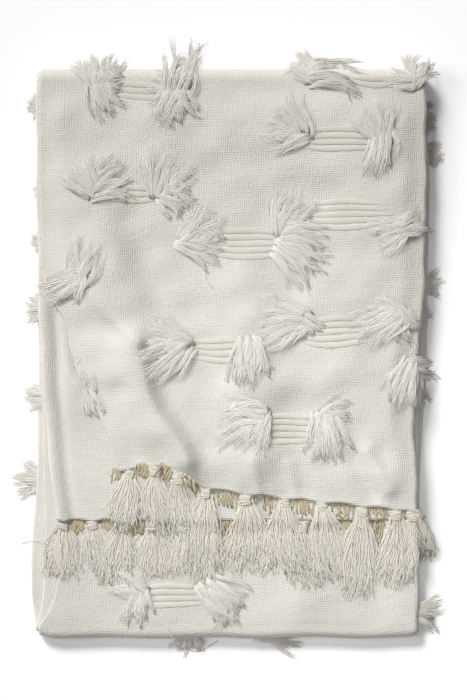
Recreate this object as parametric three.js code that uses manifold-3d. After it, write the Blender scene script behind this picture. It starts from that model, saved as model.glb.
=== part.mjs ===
// A folded throw blanket: hand-woven ivory cotton with inlaid ribs, cut yarn tufts and a knotted fringe.
// Millimetres, +Z up. The pile lies on Z = 0 with its head fold towards +Y, and the origin is in the
// middle of its underside.
//
// The cloth is folded in thirds across its width, which makes a strip of three plies:
//   cover  the last third, turned over the others, its selvedge free on the left
//   back   the middle third, joined to the cover on the right and to the inner ply on the left
//   inner  the first third, turned in from the left, its selvedge inside the right-hand turn
// The strip is then folded in three along its length:
//   top    the layer that ends in the hem and fringe that show
//   under  the layer that lies on the surface, joined to the top layer by the head fold
//   mid    the layer between them, joined to the under layer by the foot fold
import * as THREE from "three";
import { mergeVertices } from "three/addons/utils/BufferGeometryUtils.js";
import Module from "manifold-3d";

const wasm = await Module();
wasm.setup();

// Driving dimensions of the cloth and of its folds
const CLOTH_WIDTH = 1300;
const CLOTH_LENGTH = 1700;
const FOLDED_LENGTH = 632;
const THICKNESS = 2.2;
const PLY_PITCH = 3.2;
const FIT_GAP = 0.3;
const FAR_AWAY = 1000;
const WELD_DISTANCE = 1e-4;

// The cotton's colours and finish
const CLOTH_COLOUR = 0xdedad2;
const TUFT_COLOUR = 0xdcd8d0;
const FRINGE_COLOUR = 0xd8d2c4;
const COTTON_ROUGHNESS = 0.95;

// Where the plies and turns lie, worked out from those
const HALF_WIDTH = CLOTH_WIDTH / 6;
const HALF_LENGTH = FOLDED_LENGTH / 2;
const COVER_RISE = 2 * PLY_PITCH;
const UNDER_Z = THICKNESS / 2 + 2 * PLY_PITCH;
const MID_Z = UNDER_Z + PLY_PITCH;
const TOP_Z = MID_Z + 3 * PLY_PITCH;
const HEAD_Z = (TOP_Z + UNDER_Z) / 2;
const HEAD_RADIUS = (TOP_Z - UNDER_Z) / 2;
const HEAD_Y = HALF_LENGTH - HEAD_RADIUS - COVER_RISE - THICKNESS / 2;
const FOOT_Z = (MID_Z + UNDER_Z) / 2;
const FOOT_RADIUS = (MID_Z - UNDER_Z) / 2;
const FOOT_Y = -HALF_LENGTH + FOOT_RADIUS + COVER_RISE + THICKNESS / 2;
const BACK_HEM_Y = -184;
const INNER_HEM_Y = -186;
const TURNS_LENGTH = Math.PI * (HEAD_RADIUS + FOOT_RADIUS);
const MID_END_Y = FOOT_Y + CLOTH_LENGTH - (HEAD_Y - BACK_HEM_Y) - (HEAD_Y - FOOT_Y) - TURNS_LENGTH;

// How far the strip's three edges lie inside the folded width, along each layer from its start:
// the cover's free selvedge, the turn on the left and the turn on the right
const STRIP_EDGES = {
  top: [
    { share: 0, selvedge: 93, left: 25, right: 10 },
    { share: 0.1, selvedge: 79, left: 20, right: 12 },
    { share: 0.19, selvedge: 63, left: 15, right: 13.5 },
    { share: 0.25, selvedge: 47, left: 12, right: 14.5 },
    { share: 0.3, selvedge: 41, left: 10, right: 15 },
    { share: 0.39, selvedge: 33, left: 8, right: 9 },
    { share: 0.46, selvedge: 12, left: 6, right: 5 },
    { share: 0.7, selvedge: 5, left: 2, right: 1 },
    { share: 1, selvedge: 5, left: 2, right: 1 },
  ],
  under: [
    { share: 0, selvedge: 5, left: 2, right: 1 },
    { share: 0.15, selvedge: 5, left: 1, right: -4 },
    { share: 0.5, selvedge: 8, left: 3, right: -1 },
    { share: 0.75, selvedge: 4, left: 0, right: 7 },
    { share: 0.92, selvedge: -3, left: -6, right: 8 },
    { share: 1, selvedge: 3, left: 0, right: 9 },
  ],
  mid: [
    { share: 0, selvedge: 3, left: 0, right: 9 },
    { share: 0.06, selvedge: 20, left: 7, right: 8 },
    { share: 0.2, selvedge: 26, left: 9, right: 9 },
    { share: 0.5, selvedge: 12, left: 6, right: 8 },
    { share: 1, selvedge: 12, left: 6, right: 8 },
  ],
};

// The hem line of the cover ply, which swings up at the turned-back flap on the left
const COVER_HEM = [
  { x: -124, y: -128 },
  { x: -79, y: -123 },
  { x: -57, y: -130 },
  { x: -40, y: -143 },
  { x: -18, y: -150 },
  { x: 32, y: -157 },
  { x: 99, y: -164 },
  { x: 208, y: -174 },
];

// The slack of the cover ply and its soft swells, each along a line, with its height and how far it spreads
const COVER_SLACK = 4.8;
const TOP_SWELLS = [
  { fromX: -112, fromY: 6, toX: -56, toY: -122, height: 10, spread: 24 },
  { fromX: -156, fromY: 70, toX: -86, toY: 12, height: 3.5, spread: 26 },
  { fromX: -2, fromY: 60, toX: 24, toY: -120, height: 5.5, spread: 38 },
  { fromX: -152, fromY: 190, toX: -132, toY: 70, height: 4.5, spread: 32 },
  { fromX: 60, fromY: 250, toX: 140, toY: 180, height: 3.5, spread: 60 },
  { fromX: 110, fromY: 60, toX: 130, toY: -20, height: 4, spread: 52 },
];
const MID_SWELLS = [{ fromX: 64, fromY: -220, toX: 80, toY: -270, height: 2, spread: 16 }];
const SWELL_FADE = 45;
const FREE_EDGE_FADE = 30;
const FREE_EDGE_SHARE = 0.25;
const FOOT_SWELL_FADE = 14;

// Straight runs and turns of the cloth, with the number of steps each is divided into
const ACROSS_RUNS = [
  { run: "cover", steps: 18 },
  { run: "right_turn", steps: 4 },
  { run: "back", steps: 2 },
  { run: "left_turn", steps: 3 },
  { run: "inner", steps: 3 },
];
const ALONG_RUNS = [
  { run: "top", steps: 16 },
  { run: "head_turn", steps: 6 },
  { run: "under", steps: 6 },
  { run: "foot_turn", steps: 5 },
  { run: "mid", steps: 7 },
];
const COVER_CROWDING = 1.4;
const MID_CROWDING = 1.8;

// Inlaid ribs, tuft heads and the locks of cut yarn
const RIB_PITCH = 6.4;
const RIB_HEIGHT = 1.7;
const RIB_WEB = 1.8;
const RIB_STEPS = 7;
const SEAT_DEPTH = 1.3;
const HEAD_FACETS = { round: 6, high: 3 };
const HEAD_SPAN = 7;
const HEAD_HEIGHT = 4;
const HEAD_LIFT = 2.6;
const LOCK_WIDTH = 4.2;
const LOCK_HEIGHT = 2.6;
const LOCK_ARCH = 6;
const ARCH_EARLY = 0.7;
const LOCK_CLEAR = 1.2;
const LOCK_FALL = 0.12;
const LOCK_STEPS = 3;
const LOCK_SIDES = 3;
const LOCK_FULLNESS = { root: 0.7, rise: 2.2, belly: 1.3 };
const SHORTER_LOCK = 0.1;
const DEGREES_A_LOCK = 30;
const FEWEST_LOCKS = 2;
const CURL_BEFORE = 0.35;

// A lobe of a tuft: a fan of locks with its heading and opening in degrees, its reach, and the degrees
// that its locks curl round on their way
function lobe(heading, opening, reach, curl = 0) {
  return { heading, opening, reach, curl };
}

// The inlay motifs: a tuft where the ribs start on the left and one where they end on the right
const MOTIFS = [
  {
    name: "motif_head_left",
    ribs: { count: 3, y: 290 },
    tufts: [
      { x: -148, y: 298, lobes: [lobe(100, 120, 40, 10), lobe(8, 40, 40, -15), lobe(-58, 44, 46, 15)] },
      {
        x: -62,
        y: 290,
        lobes: [
          lobe(84, 30, 70, -4),
          lobe(168, 24, 36),
          lobe(-128, 34, 48, 10),
          lobe(-62, 34, 46, 10),
        ],
      },
    ],
  },
  {
    name: "motif_head_right",
    ribs: { count: 2, y: 300 },
    tufts: [
      { x: 88, y: 307, lobes: [lobe(20, 34, 66, -95), lobe(150, 70, 34, 20)] },
      { x: 201, y: 301, lobes: [lobe(70, 90, 36), lobe(170, 24, 38)] },
    ],
  },
  {
    name: "motif_upper_right",
    ribs: { count: 4, y: 236 },
    tufts: [
      { x: 76, y: 243, lobes: [lobe(112, 66, 52, 25), lobe(188, 36, 46, 10)] },
      { x: 165, y: 240, lobes: [lobe(106, 90, 44), lobe(-92, 50, 50)] },
    ],
  },
  {
    name: "motif_upper_left",
    ribs: { count: 3, y: 176 },
    tufts: [
      { x: -149, y: 180, lobes: [lobe(120, 80, 48, -20), lobe(32, 80, 48, -25)] },
      { x: -76, y: 176, lobes: [lobe(62, 90, 52, -15), lobe(-30, 56, 44, -25)] },
    ],
  },
  {
    name: "motif_centre",
    ribs: { count: 5, y: 121 },
    tufts: [
      { x: -51, y: 123, lobes: [lobe(32, 46, 56), lobe(-22, 44, 50, -10)] },
      { x: 54, y: 117, lobes: [lobe(-38, 50, 62, -10)] },
    ],
  },
  {
    name: "motif_right",
    ribs: { count: 5, y: 147 },
    tufts: [
      { x: 62, y: 137, lobes: [lobe(75, 80, 54, -45), lobe(15, 70, 54, -35)] },
      { x: 188, y: 138, lobes: [lobe(205, 70, 42, 5), lobe(12, 50, 38, -15)] },
    ],
  },
  {
    name: "tuft_left",
    tufts: [
      { x: -167, y: 84, lobes: [lobe(70, 58, 50), lobe(178, 30, 54, 22), lobe(-100, 42, 42)] },
    ],
  },
  {
    name: "motif_flap",
    ribs: { count: 4, y: 4 },
    tufts: [
      { x: -52, y: 10, lobes: [lobe(150, 60, 54, 25), lobe(205, 50, 58, 5)] },
      { x: 20, y: 9, lobes: [lobe(-82, 60, 56, -10)] },
    ],
  },
  {
    name: "motif_middle",
    ribs: { count: 5, y: 24 },
    tufts: [
      { x: 76, y: 38, lobes: [lobe(150, 84, 60, 35), lobe(215, 60, 52, 20), lobe(-60, 50, 30)] },
      { x: 184, y: 45, lobes: [lobe(240, 56, 62, 10), lobe(160, 50, 34, 10), lobe(-48, 44, 38)] },
    ],
  },
  {
    name: "motif_lower",
    ribs: { count: 5, y: -83 },
    tufts: [
      { x: 34, y: -70, lobes: [lobe(165, 50, 62, 70), lobe(-120, 50, 48, 20)] },
      { x: 101, y: -70, lobes: [lobe(-78, 62, 58, -10), lobe(10, 34, 40, -50)] },
    ],
  },
  {
    name: "tuft_right",
    tufts: [
      { x: 195, y: -8, lobes: [lobe(-108, 60, 58, 25), lobe(-62, 56, 50, -10), lobe(5, 30, 34, -20)] },
    ],
  },
  {
    name: "tuft_flap_edge",
    tufts: [
      { x: -152, y: -46, lobes: [lobe(112, 12, 34, 20), lobe(-68, 14, 32, 10)] },
    ],
  },
  {
    name: "motif_foot",
    ribs: { count: 4, y: -268 },
    tufts: [
      { x: -100, y: -265, lobes: [lobe(172, 40, 44, 15), lobe(-82, 36, 42)] },
      { x: -25, y: -259, lobes: [lobe(-58, 64, 60, -15)] },
    ],
  },
];

// Tufts that stick out at the sides and at the foot: which side, where along it, in which layer
const EDGE_TUFTS = [
  { name: "edge_tuft_left_1", side: "left", along: 274, layer: "top", reach: 12, opening: 120 },
  { name: "edge_tuft_left_2", side: "left", along: 180, layer: "mid", reach: 13, opening: 90 },
  { name: "edge_tuft_left_3", side: "left", along: 125, layer: "top", reach: 11, opening: 110 },
  { name: "edge_tuft_left_4", side: "left", along: 50, layer: "mid", reach: 24, opening: 100 },
  { name: "edge_tuft_left_5", side: "left", along: -48, layer: "mid", reach: 22, opening: 90 },
  { name: "edge_tuft_left_6", side: "left", along: -140, layer: "under", reach: 32, opening: 110 },
  { name: "edge_tuft_right_1", side: "right", along: 262, layer: "mid", reach: 24, opening: 100 },
  { name: "edge_tuft_right_2", side: "right", along: 222, layer: "under", reach: 20, opening: 90 },
  { name: "edge_tuft_right_3", side: "right", along: 78, layer: "under", reach: 22, opening: 80 },
  { name: "edge_tuft_right_4", side: "right", along: 46, layer: "mid", reach: 18, opening: 80 },
  { name: "edge_tuft_right_5", side: "right", along: -288, layer: "mid", reach: 36, opening: 70 },
  { name: "edge_tuft_foot_1", side: "foot", along: -46, layer: "mid", reach: 24, opening: 110 },
  { name: "edge_tuft_foot_2", side: "foot", along: 68, layer: "mid", reach: 22, opening: 120 },
];
const EDGE_HEAD = { depth: 2.6, span: 6, height: 3.2 };
const EDGE_LOCKS = 3;
const EDGE_LOCK_SIZE = 0.55;
const EDGE_FALL = 0.45;

// The knotted fringe: hem strip, knots and tassel locks, with the tassels of each ply
const HEM_STRIP = 6;
const KNOT = { across: 4.5, along: 5, drop: 1.5, height: 1.4 };
const TASSEL_LOCK = { width: 2.6, height: 1.1, spacing: 1.7 };
const TASSEL_STEPS = 2;
const COVER_TASSELS = [
  { x: -112, heading: -96, reach: 70 },
  { x: -84, heading: -88, reach: 74 },
  { x: -58, heading: -84, reach: 76 },
  { x: -28, heading: -92, reach: 82 },
  { x: 16, heading: -90, reach: 76 },
  { x: 59, heading: -88, reach: 76 },
  { x: 101, heading: -86, reach: 84 },
  { x: 145, heading: -90, reach: 92 },
  { x: 182, heading: -86, reach: 82 },
  { x: 200, heading: -70, reach: 52 },
];
const EVEN_TASSELS = { count: 12, firstX: -186, pitch: 33 };
const INNER_TASSELS = { reach: 62, sway: 7, swayStep: 2.4 };
const BACK_TASSELS = { reach: 58, sway: 9, swayStep: 1.7 };
const COVER_FAN = { locks: 4, opening: 24 };
const INNER_FAN = { locks: 2, opening: 16 };
const BACK_FAN = { locks: 1, opening: 0 };

function mix(from, to, share) {
  return from + (to - from) * share;
}

function fade(distance, over) {
  return THREE.MathUtils.smoothstep(distance, 0, over);
}

// The value of one column of a table at a place between its rows, on a smooth curve through them
function through(rows, place, column, at) {
  const last = rows.length - 1;
  let i = 0;
  while (i < last - 1 && at > rows[i + 1][place]) i += 1;
  const slope = (k) => {
    const before = rows[Math.max(k - 1, 0)];
    const after = rows[Math.min(k + 1, last)];
    return (after[column] - before[column]) / (after[place] - before[place]);
  };
  const span = rows[i + 1][place] - rows[i][place];
  const t = THREE.MathUtils.clamp((at - rows[i][place]) / span, 0, 1);
  const rest = 1 - t;
  const start = rest * rest * (1 + 2 * t) * rows[i][column] + rest * rest * t * span * slope(i);
  const end = t * t * (3 - 2 * t) * rows[i + 1][column] - t * t * rest * span * slope(i + 1);
  return start + end;
}

// The places along a list of runs, one for each step
function placesAlong(runs) {
  const places = [{ run: runs[0].run, share: 0 }];
  for (const { run, steps } of runs) {
    for (let k = 1; k <= steps; k += 1) places.push({ run, share: k / steps });
  }
  return places;
}

// The strip's three edges, as x, at a place along the strip
function edgesAt({ run, share }) {
  const layer = { head_turn: "under", foot_turn: "mid" }[run] ?? run;
  const rows = STRIP_EDGES[layer];
  const at = layer === run ? share : 0;
  return {
    selvedge: -HALF_WIDTH + through(rows, "share", "selvedge", at),
    left: -HALF_WIDTH + through(rows, "share", "left", at),
    right: HALF_WIDTH - through(rows, "share", "right", at),
  };
}

// The middle of the cloth across the strip: x, rise over the back ply and the way its face looks
function acrossStrip({ run, share }, edges) {
  const rightX = edges.right - PLY_PITCH - THICKNESS / 2;
  const leftX = edges.left + PLY_PITCH / 2 + THICKNESS / 2;
  const turn = (x, radius, angle) => ({
    x: x + radius * Math.cos(angle),
    rise: radius + radius * Math.sin(angle),
    faceX: Math.cos(angle),
    faceRise: Math.sin(angle),
  });
  if (run === "cover") {
    const x = mix(edges.selvedge, rightX, share ** COVER_CROWDING);
    return { x, rise: COVER_RISE, faceX: 0, faceRise: 1 };
  }
  if (run === "right_turn") return turn(rightX, PLY_PITCH, Math.PI * (0.5 - share));
  if (run === "back") return { x: mix(rightX, leftX, share), rise: 0, faceX: 0, faceRise: -1 };
  if (run === "left_turn") return turn(leftX, PLY_PITCH / 2, -Math.PI * (0.5 + share));
  return { x: mix(leftX, rightX - FIT_GAP, share), rise: PLY_PITCH, faceX: 0, faceRise: 1 };
}

// The hem of each ply in the top layer
function hemY({ run, share }, x) {
  if (run === "cover") return through(COVER_HEM, "x", "y", x);
  if (run === "right_turn") return mix(through(COVER_HEM, "x", "y", x), BACK_HEM_Y, share);
  return run === "inner" ? INNER_HEM_Y : BACK_HEM_Y;
}

// The height of the swells at a point
function swellAt(swells, x, y) {
  let height = 0;
  for (const swell of swells) {
    const from = new THREE.Vector3(swell.fromX, swell.fromY, 0);
    const to = new THREE.Vector3(swell.toX, swell.toY, 0);
    const point = new THREE.Vector3(x, y, 0);
    const nearest = new THREE.Line3(from, to).closestPointToPoint(point, true, new THREE.Vector3());
    height += swell.height * Math.exp(-((point.distanceTo(nearest) / swell.spread) ** 2));
  }
  return height;
}

// A point of the cloth from its place across and along, on its face (+1) or its reverse (-1)
function clothPoint(across, along, side) {
  const edges = edgesAt(along);
  const middle = acrossStrip(across, edges);
  const x = middle.x + (side * THICKNESS * middle.faceX) / 2;
  let rise = middle.rise + (side * THICKNESS * middle.faceRise) / 2;
  const rightFade = fade(edges.right - PLY_PITCH - middle.x, SWELL_FADE);
  if (along.run === "top") {
    const y = mix(hemY(across, middle.x), HEAD_Y, along.share);
    if (across.run === "cover") {
      const leftFade = mix(FREE_EDGE_SHARE, 1, fade(middle.x - edges.selvedge, FREE_EDGE_FADE));
      const swell = COVER_SLACK + swellAt(TOP_SWELLS, x, y);
      rise += swell * leftFade * rightFade * fade(HEAD_Y - y, SWELL_FADE);
    }
    return new THREE.Vector3(x, y, TOP_Z + rise);
  }
  if (along.run === "head_turn") {
    const angle = Math.PI * (0.5 - along.share);
    const radius = HEAD_RADIUS + rise;
    return new THREE.Vector3(x, HEAD_Y + radius * Math.cos(angle), HEAD_Z + radius * Math.sin(angle));
  }
  if (along.run === "under") {
    return new THREE.Vector3(x, mix(HEAD_Y, FOOT_Y, along.share), UNDER_Z - rise);
  }
  if (along.run === "foot_turn") {
    const angle = -Math.PI * (0.5 + along.share);
    const radius = FOOT_RADIUS + rise;
    return new THREE.Vector3(x, FOOT_Y + radius * Math.cos(angle), FOOT_Z + radius * Math.sin(angle));
  }
  const y = mix(FOOT_Y, MID_END_Y, along.share ** MID_CROWDING);
  if (across.run === "cover") {
    rise += swellAt(MID_SWELLS, x, y) * rightFade * fade(y - FOOT_Y, FOOT_SWELL_FADE);
  }
  return new THREE.Vector3(x, y, MID_Z + rise);
}

// A unit box divided into steps, with each of its points moved by a rule
function shapedBox(stepsX, stepsY, rule) {
  const geometry = new THREE.BoxGeometry(1, 1, 1, stepsX, stepsY, 1);
  const points = geometry.attributes.position;
  for (let i = 0; i < points.count; i += 1) {
    const across = Math.round((points.getX(i) + 0.5) * stepsX);
    const along = Math.round((points.getY(i) + 0.5) * stepsY);
    const point = rule(across, along, Math.sign(points.getZ(i)));
    points.setXYZ(i, point.x, point.y, point.z);
  }
  return geometry;
}

function solidOf(geometry) {
  const bare = new THREE.BufferGeometry();
  bare.setAttribute("position", geometry.getAttribute("position"));
  bare.setIndex(geometry.getIndex());
  const merged = mergeVertices(bare, WELD_DISTANCE);
  const vertProperties = merged.attributes.position.array;
  const triVerts = new Uint32Array(merged.index.array);
  return new wasm.Manifold(new wasm.Mesh({ numProp: 3, vertProperties, triVerts }));
}

function meshOf(name, solid, color) {
  const { vertProperties, triVerts } = solid.getMesh();
  const geometry = new THREE.BufferGeometry();
  geometry.setAttribute("position", new THREE.BufferAttribute(vertProperties, 3));
  geometry.setIndex(new THREE.BufferAttribute(triVerts, 1));
  const material = new THREE.MeshStandardMaterial({ color, roughness: COTTON_ROUGHNESS, metalness: 0 });
  const mesh = new THREE.Mesh(geometry, material);
  mesh.name = name;
  return mesh;
}

function joined(solids) {
  return solids.reduce((sum, solid) => sum.add(solid));
}

// The cloth: a thin sheet bent by both sets of folds
const ACROSS = placesAlong(ACROSS_RUNS);
const ALONG = placesAlong(ALONG_RUNS);
const clothGeometry = shapedBox(ACROSS.length - 1, ALONG.length - 1, (i, j, side) =>
  clothPoint(ACROSS[i], ALONG[j], side),
);
const cloth = meshOf("cloth", solidOf(clothGeometry), CLOTH_COLOUR);
const raisedCloth = solidOf(clothGeometry.translate(0, 0, FIT_GAP));

// Where the outside of the cloth is met from a point, along a direction
function meet(origin, direction) {
  const [hit] = new THREE.Raycaster(origin, direction).intersectObject(cloth);
  return hit ? hit.point : null;
}

// The height of the cloth at a point, or null beyond its outline
function seatAt(x, y) {
  const hit = meet(new THREE.Vector3(x, y, FAR_AWAY), new THREE.Vector3(0, 0, -1));
  return hit ? hit.z : null;
}

// A three-sided lock of yarn along a list of points, thickest in the middle and thin at its end
function lock(path, width, height) {
  const curve = new THREE.CatmullRomCurve3(path);
  const geometry = new THREE.ConeGeometry(1, 1, LOCK_SIDES, path.length - 1);
  const points = geometry.attributes.position;
  const up = new THREE.Vector3(0, 0, 1);
  for (let i = 0; i < points.count; i += 1) {
    const share = points.getY(i) + 0.5;
    const tangent = curve.getTangent(share);
    const side = new THREE.Vector3().crossVectors(tangent, up).normalize();
    const fullness = LOCK_FULLNESS.root + LOCK_FULLNESS.rise * share + LOCK_FULLNESS.belly * share ** 2;
    const point = curve.getPoint(share);
    point.addScaledVector(side, points.getX(i) * width * fullness);
    point.addScaledVector(up, points.getZ(i) * height * fullness);
    points.setXYZ(i, point.x, point.y, point.z);
  }
  return solidOf(geometry);
}

function ellipsoid(centre, across, along, height) {
  const geometry = new THREE.SphereGeometry(1, HEAD_FACETS.round, HEAD_FACETS.high);
  geometry.rotateX(Math.PI / 2);
  geometry.scale(across, along, height);
  geometry.translate(centre.x, centre.y, centre.z);
  return solidOf(geometry);
}

// One lock of a tuft that lies on the cloth, from its head outwards along a heading that curls round
function tuftLock(tuft, heading, reach, curl) {
  const path = [];
  const step = reach / LOCK_STEPS;
  let low = seatAt(tuft.x, tuft.y) + HEAD_LIFT - LOCK_HEIGHT / 2 - LOCK_CLEAR;
  let { x, y } = tuft;
  for (let k = 0; k <= LOCK_STEPS; k += 1) {
    const share = k / LOCK_STEPS;
    const angle = heading + curl * (share - CURL_BEFORE);
    x += k ? Math.cos(angle) * step : 0;
    y += k ? Math.sin(angle) * step : 0;
    const sideX = -Math.sin(angle) * LOCK_WIDTH;
    const sideY = Math.cos(angle) * LOCK_WIDTH;
    const seats = [-1, 0, 1].map((side) => seatAt(x + sideX * side, y + sideY * side) ?? 0);
    low = Math.max(...seats, k ? low - LOCK_FALL * step : low);
    const arch = LOCK_ARCH * Math.sin(Math.PI * share ** ARCH_EARLY);
    path.push(new THREE.Vector3(x, y, low + LOCK_CLEAR + LOCK_HEIGHT / 2 + arch));
  }
  return lock(path, LOCK_WIDTH, LOCK_HEIGHT);
}

function locksOfTuft(tuft) {
  const solids = [];
  for (const { heading, opening, reach, curl } of tuft.lobes) {
    const count = Math.max(FEWEST_LOCKS, Math.round(opening / DEGREES_A_LOCK));
    for (let k = 0; k < count; k += 1) {
      const angle = THREE.MathUtils.degToRad(heading + opening * ((k + 0.5) / count - 0.5));
      const length = reach * (1 - SHORTER_LOCK * (k % 2));
      solids.push(tuftLock(tuft, angle, length, THREE.MathUtils.degToRad(curl)));
    }
  }
  return solids;
}

// The band of raised ribs between a motif's two tufts, laid on the cloth
function ribBand(ribs, from, to) {
  const width = ribs.count * RIB_PITCH;
  const stepsY = ribs.count * 2;
  return solidOf(
    shapedBox(RIB_STEPS, stepsY, (i, j, side) => {
      const x = mix(from.x, to.x, i / RIB_STEPS);
      const y = ribs.y + width * (j / stepsY - 0.5);
      const seat = seatAt(x, y);
      const top = FIT_GAP + RIB_WEB + (j % 2 ? RIB_HEIGHT : 0);
      return new THREE.Vector3(x, y, seat + (side > 0 ? top : -SEAT_DEPTH));
    }),
  );
}

function motif({ name, ribs, tufts }) {
  const backing = tufts.map(({ x, y }) => {
    const centre = new THREE.Vector3(x, y, seatAt(x, y) + HEAD_LIFT);
    return ellipsoid(centre, HEAD_SPAN, HEAD_SPAN, HEAD_HEIGHT);
  });
  if (ribs) backing.push(ribBand(ribs, tufts[0], tufts[1]));
  const seated = joined(backing).subtract(raisedCloth);
  return meshOf(name, joined([seated, ...tufts.flatMap(locksOfTuft)]), TUFT_COLOUR);
}

// A tuft that sticks out at a side or at the foot, seated against the outermost turn of its layer
function edgeTuft({ name, side, along, layer, reach, opening }) {
  const out = {
    left: new THREE.Vector3(-1, 0, 0),
    right: new THREE.Vector3(1, 0, 0),
    foot: new THREE.Vector3(0, -1, 0),
  }[side];
  const backZ = { top: TOP_Z, mid: MID_Z, under: UNDER_Z }[layer];
  const way = layer === "under" ? -1 : 1;
  const turnRise = { left: PLY_PITCH / 2, right: PLY_PITCH, foot: 0 }[side];
  const z = side === "foot" ? FOOT_Z : backZ + way * turnRise;
  const level = side === "foot" ? new THREE.Vector3(along, 0, z) : new THREE.Vector3(0, along, z);
  const seat = meet(level.clone().addScaledVector(out, FAR_AWAY), out.clone().negate());
  const centre = seat.clone().addScaledVector(out, FIT_GAP + EDGE_HEAD.depth);
  const sideways = side === "foot";
  const spanX = sideways ? EDGE_HEAD.span : EDGE_HEAD.depth;
  const spanY = sideways ? EDGE_HEAD.depth : EDGE_HEAD.span;
  const solids = [ellipsoid(centre, spanX, spanY, EDGE_HEAD.height)];
  const outward = Math.atan2(out.y, out.x);
  for (let k = 0; k < EDGE_LOCKS; k += 1) {
    const angle = outward + THREE.MathUtils.degToRad(opening) * ((k + 0.5) / EDGE_LOCKS - 0.5);
    const path = [0, 0.5, 1].map((share) => {
      const x = centre.x + Math.cos(angle) * reach * share;
      const y = centre.y + Math.sin(angle) * reach * share;
      const fallen = centre.z - EDGE_FALL * reach * share ** 2;
      return new THREE.Vector3(x, y, Math.max(fallen, LOCK_HEIGHT));
    });
    solids.push(lock(path, LOCK_WIDTH * EDGE_LOCK_SIZE, LOCK_HEIGHT * EDGE_LOCK_SIZE));
  }
  return meshOf(name, joined(solids), TUFT_COLOUR);
}

// A knot and the locks of its tassel, which hang from a point of a hem strip and settle to a level
function tassel(knotCentre, heading, reach, level, { locks, opening }) {
  const solids = [ellipsoid(knotCentre, KNOT.across, KNOT.along, KNOT.height)];
  for (let k = 0; k < locks; k += 1) {
    const angle = THREE.MathUtils.degToRad(heading + opening * ((k + 0.5) / locks - 0.5));
    const path = [];
    const sideways = TASSEL_LOCK.spacing * (k - (locks - 1) / 2);
    for (let step = 0; step <= TASSEL_STEPS; step += 1) {
      const away = (reach * (1 - SHORTER_LOCK * (k % 2)) * step) / TASSEL_STEPS;
      const fall = ((level - knotCentre.z) * step) / TASSEL_STEPS;
      const offset = new THREE.Vector3(sideways + Math.cos(angle) * away, Math.sin(angle) * away, fall);
      path.push(knotCentre.clone().add(offset));
    }
    solids.push(lock(path, TASSEL_LOCK.width, TASSEL_LOCK.height));
  }
  return solids;
}

// The fringe of one ply: a strip parted from the hem, with its tassels
function fringe(name, run, tassels, fan) {
  const hem = { run: "top", share: 0 };
  const level = TOP_Z + { cover: COVER_RISE, inner: PLY_PITCH, back: 0 }[run];
  const places = [{ run, share: 0 }, ...ACROSS.filter((place) => place.run === run && place.share > 0)];
  const strip = shapedBox(places.length - 1, 1, (i, j, side) => {
    const point = clothPoint(places[i], hem, run === "back" ? -side : side);
    point.y -= FIT_GAP + (j ? 0 : HEM_STRIP);
    return point;
  });
  if (run === "back") strip.index.array.reverse();
  const solids = [solidOf(strip)];
  for (const { x, heading, reach } of tassels) {
    const ends = places.map((place) => clothPoint(place, hem, 0));
    ends.sort((a, b) => a.x - b.x);
    const rows = ends.map((end) => ({ x: end.x, y: end.y, z: end.z }));
    const y = through(rows, "x", "y", x) - FIT_GAP - HEM_STRIP - KNOT.drop;
    const centre = new THREE.Vector3(x, y, through(rows, "x", "z", x));
    solids.push(...tassel(centre, heading, reach, level, fan));
  }
  return meshOf(name, joined(solids), FRINGE_COLOUR);
}

// Evenly spaced tassels along a ply's hem, swaying a little to either side
function evenTassels({ reach, sway, swayStep }) {
  const rows = [];
  for (let k = 0; k < EVEN_TASSELS.count; k += 1) {
    const x = EVEN_TASSELS.firstX + EVEN_TASSELS.pitch * k;
    const heading = -90 + sway * Math.sin(k * swayStep);
    rows.push({ x, heading, reach: reach * (1 - SHORTER_LOCK * (k % 2)) });
  }
  return rows;
}

const throwBlanket = new THREE.Group();
throwBlanket.name = "throw_blanket";
throwBlanket.add(cloth);
throwBlanket.add(fringe("fringe_cover", "cover", COVER_TASSELS, COVER_FAN));
throwBlanket.add(fringe("fringe_inner", "inner", evenTassels(INNER_TASSELS), INNER_FAN));
throwBlanket.add(fringe("fringe_back", "back", evenTassels(BACK_TASSELS), BACK_FAN));
for (const row of MOTIFS) throwBlanket.add(motif(row));
for (const row of EDGE_TUFTS) throwBlanket.add(edgeTuft(row));

export default throwBlanket;
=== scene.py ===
import math

import bpy
import numpy as np
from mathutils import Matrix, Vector
from mathutils.bvhtree import BVHTree


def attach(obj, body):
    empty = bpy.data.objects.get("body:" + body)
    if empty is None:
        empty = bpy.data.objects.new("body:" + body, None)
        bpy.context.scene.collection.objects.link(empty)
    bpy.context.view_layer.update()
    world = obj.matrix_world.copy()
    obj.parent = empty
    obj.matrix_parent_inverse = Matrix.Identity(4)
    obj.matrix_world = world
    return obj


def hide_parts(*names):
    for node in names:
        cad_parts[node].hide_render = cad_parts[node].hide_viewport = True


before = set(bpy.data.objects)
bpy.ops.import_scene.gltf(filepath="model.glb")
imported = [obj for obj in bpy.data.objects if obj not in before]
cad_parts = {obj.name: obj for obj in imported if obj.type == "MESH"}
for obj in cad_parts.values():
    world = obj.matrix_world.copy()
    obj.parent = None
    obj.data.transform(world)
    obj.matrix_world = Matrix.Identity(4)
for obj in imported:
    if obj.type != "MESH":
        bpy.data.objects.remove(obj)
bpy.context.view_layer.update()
bpy.ops.object.select_all(action="DESELECT")


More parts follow.
